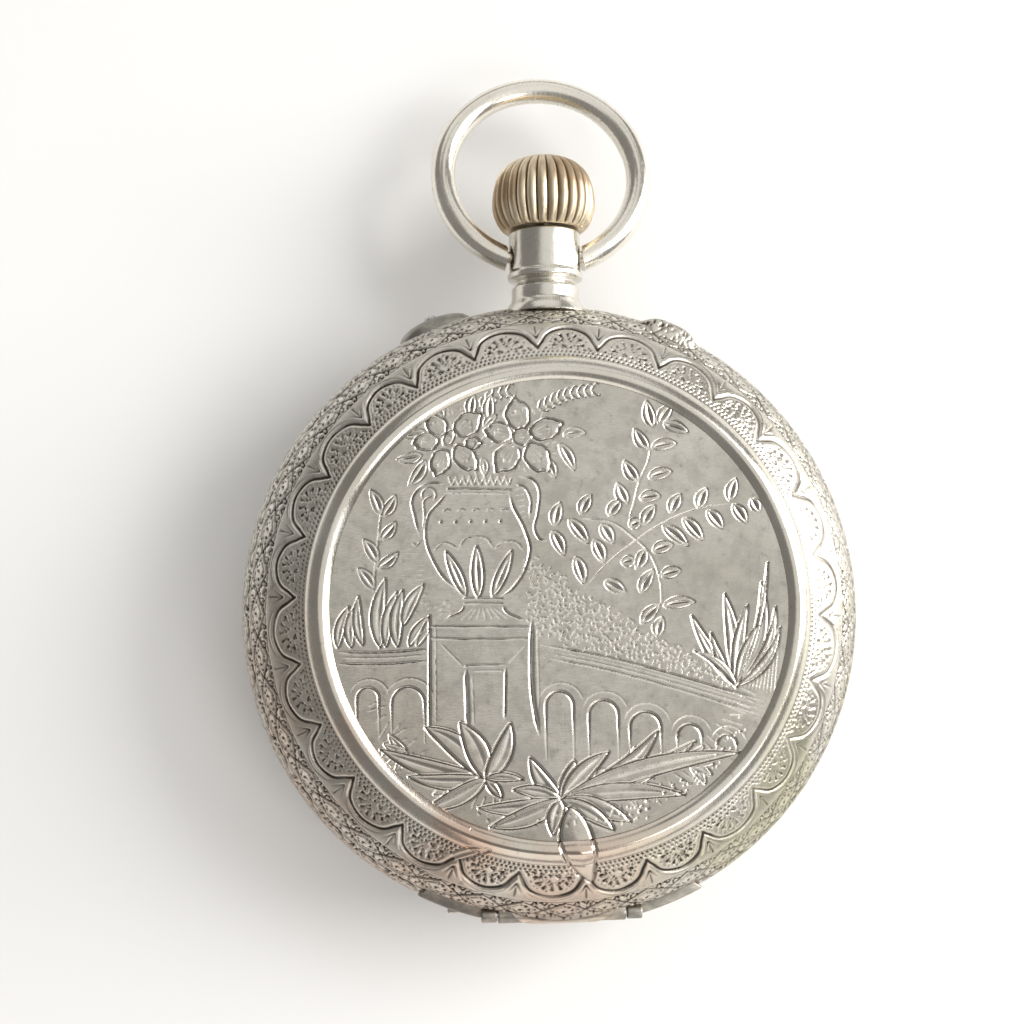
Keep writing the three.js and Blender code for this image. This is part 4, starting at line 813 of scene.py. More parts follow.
class Paint:
    """A material whose colour, gloss and grain come from nodes in the piece's own space."""

    def __init__(self, name, **sockets):
        self.material = bpy.data.materials.new(name)
        self.material.use_nodes = True
        self.tree = self.material.node_tree
        self.shader = self.tree.nodes["Principled BSDF"]
        self.coords = self.node("ShaderNodeTexCoord").outputs["Object"]
        for socket, value in sockets.items():
            self.shader.inputs[socket.replace("_", " ")].default_value = value

    def node(self, kind, inputs=None, **settings):
        """A new node with these settings and inputs."""
        made = self.tree.nodes.new(kind)
        for key, value in settings.items():
            setattr(made, key, value)
        for key, value in (inputs or {}).items():
            self.put(made.inputs[key], value)
        return made

    def put(self, socket, value):
        """Links another socket to this one, or sets its value."""
        if isinstance(value, bpy.types.NodeSocket):
            self.tree.links.new(value, socket)
        else:
            socket.default_value = value

    def noise(self, per_mm, detail=3, stretch=(1, 1, 1), distortion=0.0, rough=0.5):
        """Soft noise, finer along the axes that are stretched."""
        scaled = self.node("ShaderNodeMapping", {"Vector": self.coords, "Scale": [s / MM for s in stretch]})
        made = self.node(
            "ShaderNodeTexNoise",
            {
                "Vector": scaled.outputs[0], "Scale": per_mm, "Detail": detail, "Distortion": distortion,
                "Roughness": rough
            },
        )
        return made.outputs["Fac"]

    def attribute(self, name):
        return self.node("ShaderNodeAttribute", attribute_name=name).outputs["Fac"]

    def math(self, operation, a, b=None, clamp=False):
        made = self.node("ShaderNodeMath", operation=operation, use_clamp=clamp)
        self.put(made.inputs[0], a)
        if b is not None:
            self.put(made.inputs[1], b)
        return made.outputs[0]

    def band(self, value, low, high, to_low=0.0, to_high=1.0):
        """Runs smoothly from one value to another while the input goes from low to high."""
        made = self.node(
            "ShaderNodeMapRange",
            {"Value": value, "From Min": low, "From Max": high, "To Min": to_low, "To Max": to_high},
            interpolation_type="SMOOTHSTEP",
        )
        return made.outputs[0]

    def ramp(self, value, *stops):
        made = self.node("ShaderNodeValToRGB", {"Fac": value})
        elements = made.color_ramp.elements
        while len(elements) < len(stops):
            elements.new(0.5)
        for element, (at, colour) in zip(elements, stops):
            element.position = at
            element.color = (*colour, 1)
        return made.outputs["Color"]

    def mix(self, factor, a, b, blend="MIX"):
        made = self.node("ShaderNodeMix", data_type="RGBA", blend_type=blend)
        for index, value in ((0, factor), (6, a), (7, b)):
            self.put(made.inputs[index], (*value, 1) if isinstance(value, tuple) else value)
        return made.outputs[2]

    def side(self, x, y, low, high):
        """From 0 to 1 towards one side of the watch, between two distances in mm."""
        made = self.node(
            "ShaderNodeVectorMath", {0: self.coords, 1: (x / MM, y / MM, 0)}, operation="DOT_PRODUCT"
        )
        return self.band(made.outputs["Value"], low, high)

    def bump(self, height, strength, distance):
        made = self.node(
            "ShaderNodeBump", {"Height": height, "Strength": strength, "Distance": distance * MM}
        )
        self.put(self.shader.inputs["Normal"], made.outputs[0])

    def finish(self, colour, roughness=None):
        """Sets what the shader shows, and gives the material."""
        self.put(self.shader.inputs["Base Color"], colour)
        if roughness is not None:
            self.put(self.shader.inputs["Roughness"], roughness)
        return self.material


def silver(name, gloss=0.24, dirt_and_shade=1.0, warmth=1.0, bright=1.0, grain=(1, 14, 1), mottle=0.2, painted_cut_light=False):
    """Old silver: grey with warm patches, finely scratched, and painted darker in its cuts, as tarnish and
    painted shade.
    """
    p = Paint(name, Metallic=1.0)
    blotch = p.noise(0.16, 4, distortion=0.6)
    speck = p.noise(2.2, 5)
    shade = [
        tuple(bright * c for c in colour)
        for colour in ((0.66, 0.63, 0.55), (0.74, 0.71, 0.64), (0.79, 0.765, 0.70))
    ]
    base = p.ramp(blotch, (0.30, shade[0]), (0.5, shade[1]), (0.72, shade[2]))
    # rose patches toward the lower left: partly toning of the silver, partly a painted warm, dark reflection
    # of the room on that side
    rose_toning_and_reflection = p.math(
        "MULTIPLY", p.side(-0.5, -0.86, 4.0, 14.0), p.band(p.noise(0.22, 3), 0.3, 0.58, 0.1, 0.8 * warmth)
    )
    base = p.mix(rose_toning_and_reflection, base, (0.64, 0.46, 0.36))
    straw = p.math(
        "MULTIPLY", p.side(0.74, -0.67, 9.0, 17.0), p.band(p.noise(0.3, 3), 0.38, 0.6, 0, 0.7 * warmth)
    )
    base = p.mix(straw, base, (0.66, 0.63, 0.40))
    base = p.mix(
        p.band(p.noise(1.1, 6, rough=0.7), 0.4, 0.62, 0, 2 * mottle), base, tuple(0.62 * c for c in shade[1])
    )
    base = p.mix(p.band(speck, 0.6, 0.74, 0, 0.4 * dirt_and_shade), base, (0.27, 0.24, 0.19))
    # the cuts and hollows are painted dark from the marks: tarnish, and painted shade where shade falls in
    # them
    cuts = p.math(
        "MULTIPLY", p.attribute("tarnish_and_shade"), p.band(p.noise(0.9, 4), 0.2, 0.75, 0.55 * dirt_and_shade, 1.0 * dirt_and_shade),
        clamp=True
    )
    scratches = p.noise(2.6, 3, grain)
    base = p.mix(
        p.band(scratches, 0.42, 0.66, 0, 0.35 * mottle / 0.14), base, tuple(0.72 * c for c in shade[1])
    )
    if painted_cut_light:
        # the flanks of a bright cut get a near-white painted highlight, and its bottom line is painted dark,
        # as tarnish and painted shade
        base = p.mix(p.band(cuts, 0.04, 0.3, 0, 0.55), base, (0.95, 0.92, 0.85))
        base = p.mix(p.band(cuts, 0.38, 0.72, 0, 0.9), base, (0.085, 0.07, 0.055))
    else:
        # cuts painted dark: tarnish and painted shade
        base = p.mix(cuts, base, (0.075, 0.06, 0.05))
    rough = p.math("ADD", p.band(blotch, 0.3, 0.7, gloss, gloss + 0.1), p.band(scratches, 0.45, 0.8, 0, 0.12))
    rough = p.math("ADD", rough, p.math("MULTIPLY", cuts, 0.02 if painted_cut_light else 0.22), clamp=True)
    p.bump(p.math("ADD", p.math("MULTIPLY", scratches, 0.5), p.math("MULTIPLY", speck, 0.7)), 0.2, 0.02)
    return p.finish(base, rough)


def plated(name, dark, light, gloss=0.28, metal=1.0, grain=(1, 1, 12), wear=None):
    """A metal with two shades, the paler where it is worn."""
    p = Paint(name, Metallic=metal)
    base = p.ramp(p.noise(0.5, 4), (0.3, dark), (0.7, light))
    if wear is not None:
        base = p.mix(p.band(p.noise(0.28, 3), 0.42, 0.6, 0, 0.9), base, wear)
    base = p.mix(p.math("MULTIPLY", p.attribute("tarnish_and_shade"), 0.85), base, tuple(0.22 * c for c in dark))
    lines = p.noise(3.0, 3, grain)
    rough = p.band(lines, 0.3, 0.75, gloss, gloss + 0.16)
    p.bump(lines, 0.15, 0.02)
    return p.finish(base, rough)


def striped(name, dark, light):
    """Nickel with broad polished stripes across it."""
    p = Paint(name, Metallic=1.0)
    turned_coords = p.node(
        "ShaderNodeMapping", {"Vector": p.coords, "Scale": [1 / MM] * 3, "Rotation": (0, 0, 0.7)}
    )
    wave = p.node(
        "ShaderNodeTexWave", {"Vector": turned_coords.outputs[0], "Scale": 0.42, "Distortion": 0.1},
        wave_profile="SAW"
    ).outputs["Fac"]
    fine = p.noise(2.4, 3, (10, 1, 1))
    base = p.mix(p.band(wave, 0, 1, 0, 0.6), dark, light)
    base = p.mix(p.band(p.noise(0.5, 4), 0.5, 0.8, 0, 0.3), base, tuple(0.6 * c for c in dark))
    rough = p.math("ADD", p.band(wave, 0, 1, 0.2, 0.34), p.band(fine, 0.4, 0.8, 0, 0.1))
    p.bump(p.math("ADD", wave, p.math("MULTIPLY", fine, 0.3)), 0.25, 0.03)
    return p.finish(base, rough)


def enamel():
    """White vitreous enamel, a little uneven, with specks."""
    p = Paint("dial_enamel", IOR=1.52, Coat_Weight=0.6, Coat_Roughness=0.05)
    base = p.ramp(p.noise(0.25, 4), (0.3, (0.80, 0.785, 0.73)), (0.7, (0.87, 0.86, 0.82)))
    base = p.mix(p.band(p.noise(3.5, 2), 0.66, 0.74, 0, 0.35), base, (0.45, 0.40, 0.33))
    p.bump(p.noise(0.5, 3), 0.1, 0.04)
    return p.finish(base, p.band(p.noise(1.2, 3), 0.3, 0.7, 0.12, 0.22))


def glass():
    """The crystal, with fine scratches in its gloss."""
    p = Paint("crystal_glass", IOR=1.5, Transmission_Weight=1.0)
    base = p.ramp(p.noise(0.2, 2), (0.3, (0.95, 0.97, 0.965)), (0.7, (0.985, 0.99, 0.99)))
    scratches = p.noise(2.0, 2, (1, 18, 1))
    return p.finish(base, p.band(scratches, 0.6, 0.8, 0.0, 0.06))


def ink():
    """Black paint on the dial."""
    p = Paint("dial_paint", IOR=1.5)
    base = p.ramp(p.noise(4.0, 3), (0.3, (0.012, 0.012, 0.014)), (0.7, (0.05, 0.048, 0.045)))
    return p.finish(base, p.band(p.noise(2.0, 2), 0.3, 0.7, 0.25, 0.4))


def jewel():
    """The balance's ruby endstone."""
    p = Paint("ruby", IOR=1.77, Transmission_Weight=0.5, Coat_Weight=0.5)
    base = p.ramp(p.noise(1.5, 3), (0.3, (0.30, 0.01, 0.04)), (0.7, (0.62, 0.04, 0.12)))
    return p.finish(base, p.band(p.noise(2.0, 2), 0.3, 0.7, 0.05, 0.12))


# the disc's cuts get a painted highlight on their flanks and painted shade along their bottoms
DISC = silver("silver_disc", 0.19, 1.1, 0.45, 0.82, mottle=0.25, painted_cut_light=True)
ENGRAVED = silver("silver_engraved", 0.25, 1.25, 1.0, 1.05, mottle=0.14)
BRIGHT = silver("silver_bow", 0.15, 0.35, 0.9, 1.16, (6, 1, 1), mottle=0.02)
POLISHED = silver("silver_polished", 0.14, 0.6, 1.2, 1.0, (14, 1, 1), mottle=0.04)
WORN = silver("silver_band", 0.28, 1.25, 0.8, 1.05, mottle=0.14)
# darker silver, tarnished; on the hinges it is also painted shade, for the shadow in the hinge's gap
DARK = silver("silver_tarnished_and_shaded", 0.34, 2.2, 0.8, 0.6, mottle=0.5)
INSIDE = silver("silver_inside", 0.16, 0.5, 0.3, 1.0)
GILT = plated("crown_gilt", (0.44, 0.31, 0.19), (0.64, 0.50, 0.34), 0.3, wear=(0.76, 0.66, 0.49))
BRASS = plated("brass", (0.52, 0.37, 0.15), (0.74, 0.56, 0.27), 0.22, grain=(1, 1, 1))
FROSTED = plated("gilt_frosted", (0.56, 0.41, 0.20), (0.74, 0.58, 0.32), 0.42, grain=(1, 1, 1))
NICKEL = striped("nickel_striped", (0.50, 0.485, 0.45), (0.76, 0.74, 0.70))
STEEL = plated("steel", (0.34, 0.35, 0.36), (0.60, 0.61, 0.62), 0.16, grain=(8, 1, 1))
BLUED = plated("blued_steel", (0.012, 0.022, 0.09), (0.03, 0.06, 0.24), 0.15, grain=(6, 1, 1))
ENAMEL, GLASS, INK, RUBY = enamel(), glass(), ink(), jewel()

# ---------------------------------------------------------------- back cover


def dome(r):
    """z of the plain engraved disc under the back's ring."""
    return BACK_TOP - 0.03 - 0.22 * (r / DISC_RADIUS) ** 2


def closed_slab(points, rows, columns, drop):
    """A grid of points, its sides, and one flat face under it, with its rim marked as a crease."""
    faces = quads(rows, columns, wrap_columns=False).tolist()
    index = np.arange(rows * columns).reshape(rows, columns)
    rim = np.concatenate([index[0, :-1], index[:-1, -1], index[-1, :0:-1], index[:0:-1, 0]])
    low = points[rim].copy()
    low[:, 2] = drop
    under = len(points) + np.arange(len(rim))
    over = np.roll(rim, -1)
    faces += np.stack([rim, under, np.roll(under, -1), over], -1).tolist()
    faces.append(under.tolist())
    crease = np.zeros(len(points) + len(rim), np.int8)
    crease[rim] = 1
    crease[under] = 2
    return np.vstack([points, low]), faces, crease


def back_scene(scene):
    """The engraved disc, in two halves."""
    tarnish_and_shade = scene.tarnish_and_shade(0.11)
    rows, columns = ((440, 220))
    for name, start in (("back_cover_scene_left", -1.0), ("back_cover_scene_right", 0.0)):
        u, v = np.meshgrid(np.linspace(start, start + 1, columns), np.linspace(-1, 1, rows))
        x = DISC_RADIUS * u * np.sqrt(1 - v**2 / 2)
        y = DISC_RADIUS * v * np.sqrt(1 - u**2 / 2)
        z = dome(np.hypot(x, y)) + scene.sample(scene.height, x, y)
        points = np.stack([x, y, z], -1).reshape(-1, 3)
        solid, faces, crease = closed_slab(points, rows, columns, BACK_TOP - 0.5)
        marks = np.zeros(len(solid))
        marks[: points.shape[0]] = scene.sample(tarnish_and_shade, x, y).ravel()
        mesh_piece(name, "back_cover", DISC, solid, faces, marks, clean=False, crease=crease)


def relief(name, body, material, outer, inner, columns, lift, fit=None):
    """A turned wall whose outer face is engraved. lift(theta, run, r) gives heights, and marks of tarnish and
    painted shade.
    """
    slope = np.gradient(outer, axis=0)
    normal = np.stack([-slope[:, 1], slope[:, 0]], -1)
    normal /= np.linalg.norm(normal, axis=1)[:, None]
    if normal[len(normal) // 2, 0] < 0:
        normal = -normal
    run = np.concatenate([[0], np.cumsum(np.linalg.norm(np.diff(outer, axis=0), axis=1))])
    theta = np.arange(columns) / columns * TAU
    heights, marks = lift(theta[None, :], run[:, None], outer[:, 0][:, None])
    heights = heights * np.clip(np.minimum(run, run[-1] - run) / 0.06, 0, 1)[:, None]
    r = outer[:, 0][:, None] + normal[:, 0][:, None] * heights
    z = outer[:, 1][:, None] + normal[:, 1][:, None] * heights
    points = np.stack([r * np.cos(theta), r * np.sin(theta), z + 0 * theta], -1)
    points = np.concatenate([points, turn_points(np.array(inner, float), theta)])
    if fit is not None:
        points = fit(points, len(outer))
    marks = np.concatenate([np.broadcast_to(marks, heights.shape), np.zeros((len(inner), columns))])
    crease = np.zeros(points.shape[:2], np.int8)
    crease[0] = 1
    crease[len(outer) - 1] = 2
    faces = quads(len(points), columns, wrap_rows=True)
    return mesh_piece(
        name, body, material, points.reshape(-1, 3), faces, marks, False, crease.ravel()
    )


FINE = 1.0
RING_FOOT = 13.4  # radius where the border starts
CAP_OUTER, CAP_INNER = 0.52, 0.46  # the cover's edge swells over the hinge in the middle of it
CAP_END, CAP_FADE = 5.3, 0.15  # how far the cap reaches from the middle, and how softly it ends
SLOT_END, SLOT_Y, SLOT_REACH, SLOT_Z = 2.2, -15.8, 0.6, 8.49  # the slot for the dust cover's arm


def over_hinge(points, skin):
    """Swells the cover's edge into a cap round the hinge barrels, with a slot for the dust cover's arm."""
    x, y, z = points[..., 0], points[..., 1], points[..., 2]
    dy, dz = y - REAR_HINGE[0], z - REAR_HINGE[1]
    far = np.hypot(dy, dz)
    limit = np.where(np.arange(len(points)) < skin, CAP_OUTER, CAP_INNER)[:, None]
    share = np.clip((CAP_END - np.abs(x)) / CAP_FADE, 0, 1) * (y < -15.0)
    push = 1 + share * (np.maximum(limit / np.maximum(far, 0.02), 1) - 1)
    points[..., 1] = REAR_HINGE[0] + dy * push
    points[..., 2] = REAR_HINGE[1] + dz * push
    inside = (np.arange(len(points)) >= skin)[:, None]
    slot = inside & (np.abs(x) < SLOT_END) & (np.abs(points[..., 1] - SLOT_Y) < SLOT_REACH)
    points[..., 2] = np.where(slot, np.maximum(points[..., 2], SLOT_Z), points[..., 2])
    return points


def repeat(e, tarnish_and_shade, theta, along, radius, count, phase=0.0):
    """Heights, and marks of tarnish and painted shade, of a motif repeated round the case."""
    pitch = TAU / count
    x = ((theta - phase + pitch / 2) % pitch - pitch / 2) * radius
    shape = np.broadcast(x, along).shape
    x, y = np.broadcast_to(x, shape), np.broadcast_to(along, shape)
    return e.sample(e.height, x, y), e.sample(tarnish_and_shade, x, y)


def wear_and_light_fade(theta):
    """How much of the engraving's depth is left round the case. It is worn most at the right, where its dark
    marks are also faded, as painted light on the side that the window lights.
    """
    return 1 - 0.45 * np.clip(np.cos(theta - 0.1), 0, 1)


def line_length(line):
    """The length of a line of points."""
    return float(np.sum(np.linalg.norm(np.diff(line, axis=0), axis=1)))


def split(line, at):
    """Cuts a line in two at a distance along it."""
    count = 400
    fine = evenly(line, count)
    k = int(round(at / line_length(line) * (count - 1)))
    return fine[: k + 1], fine[k:]


def back_cover(scene):
    """The cover: its disc, ring, fans, lozenges and thumb lip, its lining, and its half of the hinge."""
    back_scene(scene)
    scene_tarnish_and_shade = scene.tarnish_and_shade()

    def over(theta, r, heights, marks):
        """Lets the scene's leaves run out over a wall."""
        x, y = r * np.cos(theta), r * np.sin(theta)
        near = np.clip((14.5 - np.hypot(x, y)) / 0.1, 0, 1) * (y < -8) * (np.abs(x + 1.4) < 4.4)
        covered = scene.sample(scene.cover, x, y) * near
        extra, extra_marks = scene.sample(scene.height, x, y), 0.35 * scene.sample(scene_tarnish_and_shade, x, y)
        return (1 - covered) * heights + near * extra, np.maximum((1 - covered) * marks, near * extra_marks)

    ring = [
        (12.02, 10.95), (12.1, 11.13), (12.26, 11.27), (12.5, 11.375), (12.75, 11.37), (13.0, 11.23),
        (13.25, 11.02), (RING_FOOT, 10.84)
    ]
    ring = evenly(smooth(ring), 30)

    def plain(theta, along, r):
        """The ring is smooth, with slight dents, and painted darker along its foot by the disc, as tarnish
        and painted shade.
        """
        dents = 0.03 * (wander(theta, along, 3) - 0.5) * np.clip(along / 0.4, 0, 1)
        return over(theta, r, dents, 0.5 * np.clip(1 - along / 0.12, 0, 1) + 0 * dents)

    relief(
        "back_cover_ring", "back_cover", POLISHED, ring, [(13.2, 10.4), (12.1, 10.6)], round(1500 * FINE),
        plain
    )

    skin = smooth(
        [(RING_FOOT, 10.86), (14.1, 10.5), (15.2, 9.76), (16.0, 8.95), (16.38, 8.35), (16.45, 8.12)]
    )
    fans_line, lattice_line = split(skin, LATTICE_START)
    fans_line, lattice_line = evenly(fans_line, round(48 * FINE)), evenly(lattice_line, round(38 * FINE))
    fan, lozenge = engrave_fan(), engrave_lozenge([(0.86, 0.68)], [0.1, 1.62])
    fan_tarnish_and_shade, lozenge_tarnish_and_shade = fan.tarnish_and_shade(), lozenge.tarnish_and_shade()

    def fans(theta, along, r):
        """Fans under scallops, not quite evenly placed, and worn."""
        drift = 0.02 * (wander(theta, 0 * along, 9) - 0.5)
        rise = along + 0.1 * (wander(theta, 0 * along, 4) - 0.5) * np.clip(along / 0.8, 0, 1)
        heights, marks = repeat(fan, fan_tarnish_and_shade, theta + drift, rise, FAN_RADIUS, FANS, 0.07)
        # the marks fade at the right with the wear, as painted light where the window's light falls
        worn = (0.6 + 0.7 * wander(theta, along, 5)) * wear_and_light_fade(theta)
        return over(theta, r, worn * heights, np.clip(1.2 * worn, 0, 1) * marks)

    def lattice(theta, along, _):
        """A row of lozenges, with the thumb lip standing out of it."""
        drift = 0.02 * (wander(theta, 0 * along, 19) - 0.5)
        heights, marks = repeat(lozenge, lozenge_tarnish_and_shade, theta + drift, along, LOZENGE_RADIUS, LOZENGES)
        # the marks fade at the right with the wear, as painted light where the window's light falls
        worn = (0.7 + 0.6 * wander(theta, along, 6)) * wear_and_light_fade(theta)
        lip = (
            0.62 * np.exp(-(((theta - math.radians(66.4)) * 16.1 / 1.5) ** 4))
            * np.clip((along - 0.9) / 0.5, 0, 1)
        )
        return worn * heights + lip, np.clip(1.2 * worn, 0, 1) * marks

    shared = tuple(fans_line[-1] - (0.35, 0.25))
    fan_inside = [shared, (14.0, 9.98), (13.3, 10.2)]
    relief("back_cover_fans", "back_cover", ENGRAVED, fans_line, fan_inside, round(1750 * FINE), fans)
    edge_inside = [
        (16.36, 8.1), (16.3, 8.16), (16.2, 8.16), (16.05, 8.14), (15.75, 8.13), (15.7, 8.7), (15.3, 9.1),
        shared,
    ]
    rim = relief(
        "back_cover_edge", "back_cover", ENGRAVED, lattice_line, edge_inside, round(2000 * FINE), lattice,
        over_hinge
    )
    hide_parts("back_cover")

    shell = [
        (0, 11.0), (12.3, 10.7), (13.2, 10.6), (14.6, 9.85), (15.2, 9.25), (15.15, 9.2), (14.0, 9.9),
        (12.6, 10.42),
        (0, 10.78),
    ]
    turned("back_cover_lining", "back_cover", INSIDE, shell, 192, closed=False, radius=0.2)
    # the cover's hinge barrels and leaves are in dark silver as painted shade
    for side, (start, end) in (("left", (-3.42, -1.58)), ("right", (1.58, 3.42))):
        knuckle(f"back_cover_knuckle_{side}", "back_cover", DARK, REAR_HINGE, start, end)
        block(
            f"back_cover_leaf_{side}", "back_cover", DARK, (start, -16.2, 8.1), (end, -15.3, 8.46),
            0.06
        )


# ---------------------------------------------------------------- band, dust cover, bezel, crystal


PIN_END = 4.3  # the back's hinge ends this far from its middle
WING_RADIUS = 16.95  # the fixed wings beside the hinge follow the round of the case
# Each trough's hinge, how far it reaches from the middle, its radius, and -1 where it is cut downwards.
TROUGHS = ((REAR_HINGE, 5.45, 0.62, -1), (FRONT_HINGE, 2.38, 0.5, 1))
TROUGH_ROOM = 1.2  # only points this near the hinge's height are moved


def round_hinges(points, _):
    """Cuts a round trough in the band's upper and lower edges for the hinge barrels to turn in."""
    for (axis_y, axis_z), reach, radius, sign in TROUGHS:
        dy = points[..., 1] - axis_y
        inside = (np.abs(points[..., 0]) < reach) & (np.abs(dy) < radius)
        floor = axis_z + sign * np.sqrt(np.clip(radius**2 - dy**2, 0, None))
        deeper = np.minimum if sign < 0 else np.maximum
        near = np.abs(points[..., 2] - axis_z) < TROUGH_ROOM
        points[..., 2] = np.where(inside & near, deeper(points[..., 2], floor), points[..., 2])
    return points


def case_band():
    """The middle of the case, with its fixed halves of both hinges and the rear pin."""
    lattice = engrave_lozenge([(0.85, 0.72), (2.75, 0.98)], [0.12, 1.68, 3.85])
    marks_of = lattice.tarnish_and_shade()
    wall = evenly(
        smooth(
            [
                (16.42, 8.05), (16.6, 7.85), (16.85, 7.2), (17.0, 6.3), (17.0, 5.2), (16.8, 4.3),
                (16.45, 3.6), (16.3, 3.45)
            ]
        ),
        round(62 * FINE),
    )

    def worked(theta, along, _):
        """Two rows of lozenges, cut in but never standing proud of the wall."""
        heights, marks = repeat(lattice, marks_of, theta, along, LOZENGE_RADIUS, LOZENGES, 0.05)
        worn = 0.7 + 0.6 * wander(theta, along, 12)
        return np.minimum(heights * worn, 0.0), marks * np.clip(worn, 0, 1)

    inner = [
        (15.2, 3.45), (15.15, 3.0), (14.45, 3.0), (14.45, 4.4), (14.22, 4.42), (14.22, 5.13), (14.45, 5.15),
        (14.45, 8.42), (14.5, 8.45), (14.8, 8.45), (14.85, 8.4), (14.85, 8.05),
        *((r, 8.05) for r in np.linspace(15.4, 16.35, 14)),
    ]
    wall_piece = relief("case_band_wall", "case", WORN, wall, inner, round(1290 * FINE), worked, round_hinges)
    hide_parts("case_band")
    # the band's hinge barrels, wings and seat are in dark silver as painted shade
    for side, sign in (("left", -1), ("right", 1)):
        start, end = sorted((sign * 3.5, sign * PIN_END))
        knuckle(f"case_band_knuckle_{side}", "case", DARK, REAR_HINGE, start, end, 0.37)
        rim = [(sign * x, -math.sqrt(WING_RADIUS**2 - x**2)) for x in np.linspace(3.5, 7.7, 14)]
        heel = [(sign * 7.0, -14.6), (sign * 3.5, -15.2)]
        plate(f"case_band_wing_{side}", "case", DARK, [*rim, *heel], 6.9, 8.03, 0.14)
    seat = [(x, -math.sqrt((WING_RADIUS - 0.3) ** 2 - x**2)) for x in np.linspace(-7, 7, 25)]
    plate("case_band_hinge_seat", "case", DARK, [*seat, (6.5, -14.8), (-6.5, -14.8)], 6.6, 7.4, 0.1)
    pin = turned(
        "hinge_pin_rear", "case", STEEL,
        [(0, -PIN_END + 0.05), (0.25, -PIN_END + 0.05), (0.25, PIN_END - 0.05), (0, PIN_END - 0.05)], 32,
        Matrix.Translation((0, *REAR_HINGE)) @ ALONG_X, radius=0.06, closed=False,
    )
    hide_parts("rear_hinge_pin")
    block("case_band_front_bar", "case", WORN, (-6.0, -16.6, 4.05), (6.0, -14.9, 4.6), 0.12)
    for side, (start, end) in (("left", (-6.0, -2.4)), ("right", (2.4, 6.0))):
        knuckle(f"case_band_front_knuckle_{side}", "case", WORN, FRONT_HINGE, start, end)
        block(
            f"case_band_front_seat_{side}", "case", WORN, (start, -16.5, 3.5), (end, -15.7, 4.3),
            0.1
        )


def dust_cover():
    """The plain inner cover, with its own barrel on the rear pin."""
    outline = [
        (0, 9.5), (8, 9.38), (13.3, 9.12), (14.9, 8.92), (15.25, 8.7), (15.3, 8.15), (15.0, 8.15),
        (14.95, 8.58),
        (13.2, 8.85), (8, 9.1), (0, 9.2),
    ]
    shell = turned(
        "dust_cover_shell", "dust_cover", INSIDE, outline, 200, closed=False, radius=0.14
    )
    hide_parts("dust_cover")
    knuckle("dust_cover_knuckle", "dust_cover", WORN, REAR_HINGE, -1.5, 1.5)
    block(
        "dust_cover_arm", "dust_cover", INSIDE, (-1.5, REAR_HINGE[0], 8.14), (1.5, -15.05, 8.42),
        0.06
    )


def bezel_and_crystal():
    """The bezel with its hinge barrel and thumb lip, and the crystal set in it."""
    outline = [
        (12.3, 0.5), (12.9, 0.35), (14.0, 0.75), (15.2, 1.7), (16.0, 2.7), (16.25, 3.38), (15.3, 3.38),
        (15.3, 2.8),
        (14.2, 2.2), (12.6, 1.6), (11.8, 1.5), (11.8, 1.2), (12.3, 1.2),
    ]
    ring = turned("bezel_ring", "bezel", POLISHED, outline, 200, radius=0.3)
    knuckle("bezel_knuckle", "bezel", WORN, FRONT_HINGE, -2.3, 2.3)
    block("bezel_arm", "bezel", WORN, (-2.3, -16.2, 2.95), (2.3, -15.3, 3.3), 0.08)
    block("bezel_lip", "bezel", POLISHED, (-2.0, 15.7, 2.75), (2.0, 16.5, 3.3), 0.18)
    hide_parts("bezel")
    lens = turned(
        "crystal_lens", "bezel", GLASS,
        [(0, 0), (10.7, 0), (11.9, 0.55), (12.2, 0.8), (12.2, 1.1), (0, 1.1)], 200, closed=False, radius=0.12,
    )
    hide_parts("crystal")


# ---------------------------------------------------------------- pendant, crown, bow, setting pin


def pendant():
    """The neck that holds the stem and the bow's pivots."""
    outline = [
        (0.8, 16.5), (2.35, 16.5), (2.15, 16.95), (1.9, 17.3), (1.88, 18.05), (1.6, 18.22), (1.6, 18.42),
        (2.1, 18.5), (2.12, 18.82), (2.0, 18.95), (2.0, PENDANT_TOP), (0.8, PENDANT_TOP),
    ]
    neck = turned(
        "pendant_neck", "case", POLISHED, outline, 96,
        Matrix.Translation((0, 0, STEM_Z)) @ ALONG_Y, radius=0.13
    )
    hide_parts("pendant")


CROWN_RIBS = 28


def crown():
    """The ribbed winding crown, with its grooves marked darker."""
    line = evenly(
        smooth(
            [
                (2.0, 21.32), (2.28, 21.36), (2.62, 21.75), (2.85, 22.4), (2.9, 23.0), (2.8, 23.8),
                (2.5, 24.55), (1.9, 25.15), (1.0, 25.52), (0.35, 25.6)
            ],
            10
        ),
        64,
    )
    sides = CROWN_RIBS * 14
    theta = np.arange(sides) / sides * TAU
    rib = np.abs(np.sin(theta * CROWN_RIBS / 2)) ** 0.7
    strength = np.clip((line[:, 0] - 0.8) / 1.0, 0, 1) * np.clip((line[:, 1] - 21.33) / 0.12, 0, 1)
    depth = 0.2 * strength[:, None] * (1 - rib[None, :])
    profile = turn_points(line, theta)
    scale = 1 - depth / np.maximum(line[:, 0][:, None], 0.3)
    points = profile.copy()
    points[..., 0] *= scale
    points[..., 1] *= scale
    marks = strength[:, None] * np.clip(1.25 - 1.9 * rib[None, :], 0, 1)
    inner = turn_points(np.array([(0.01, CROWN_TOP), (0.01, 24.0), (0.62, 23.9), (0.62, 21.33)]), theta)
    everything = np.concatenate([points, inner]).reshape(-1, 3)
    everything = np.array([(x, h, STEM_Z - y) for x, y, h in everything])
    marks = np.concatenate([marks, np.zeros((len(inner), sides))])
    faces = quads(len(points) + len(inner), sides, wrap_rows=True)
    knob = mesh_piece("crown_knob", "winding_stem", GILT, everything, faces, marks=marks)
    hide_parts("crown")


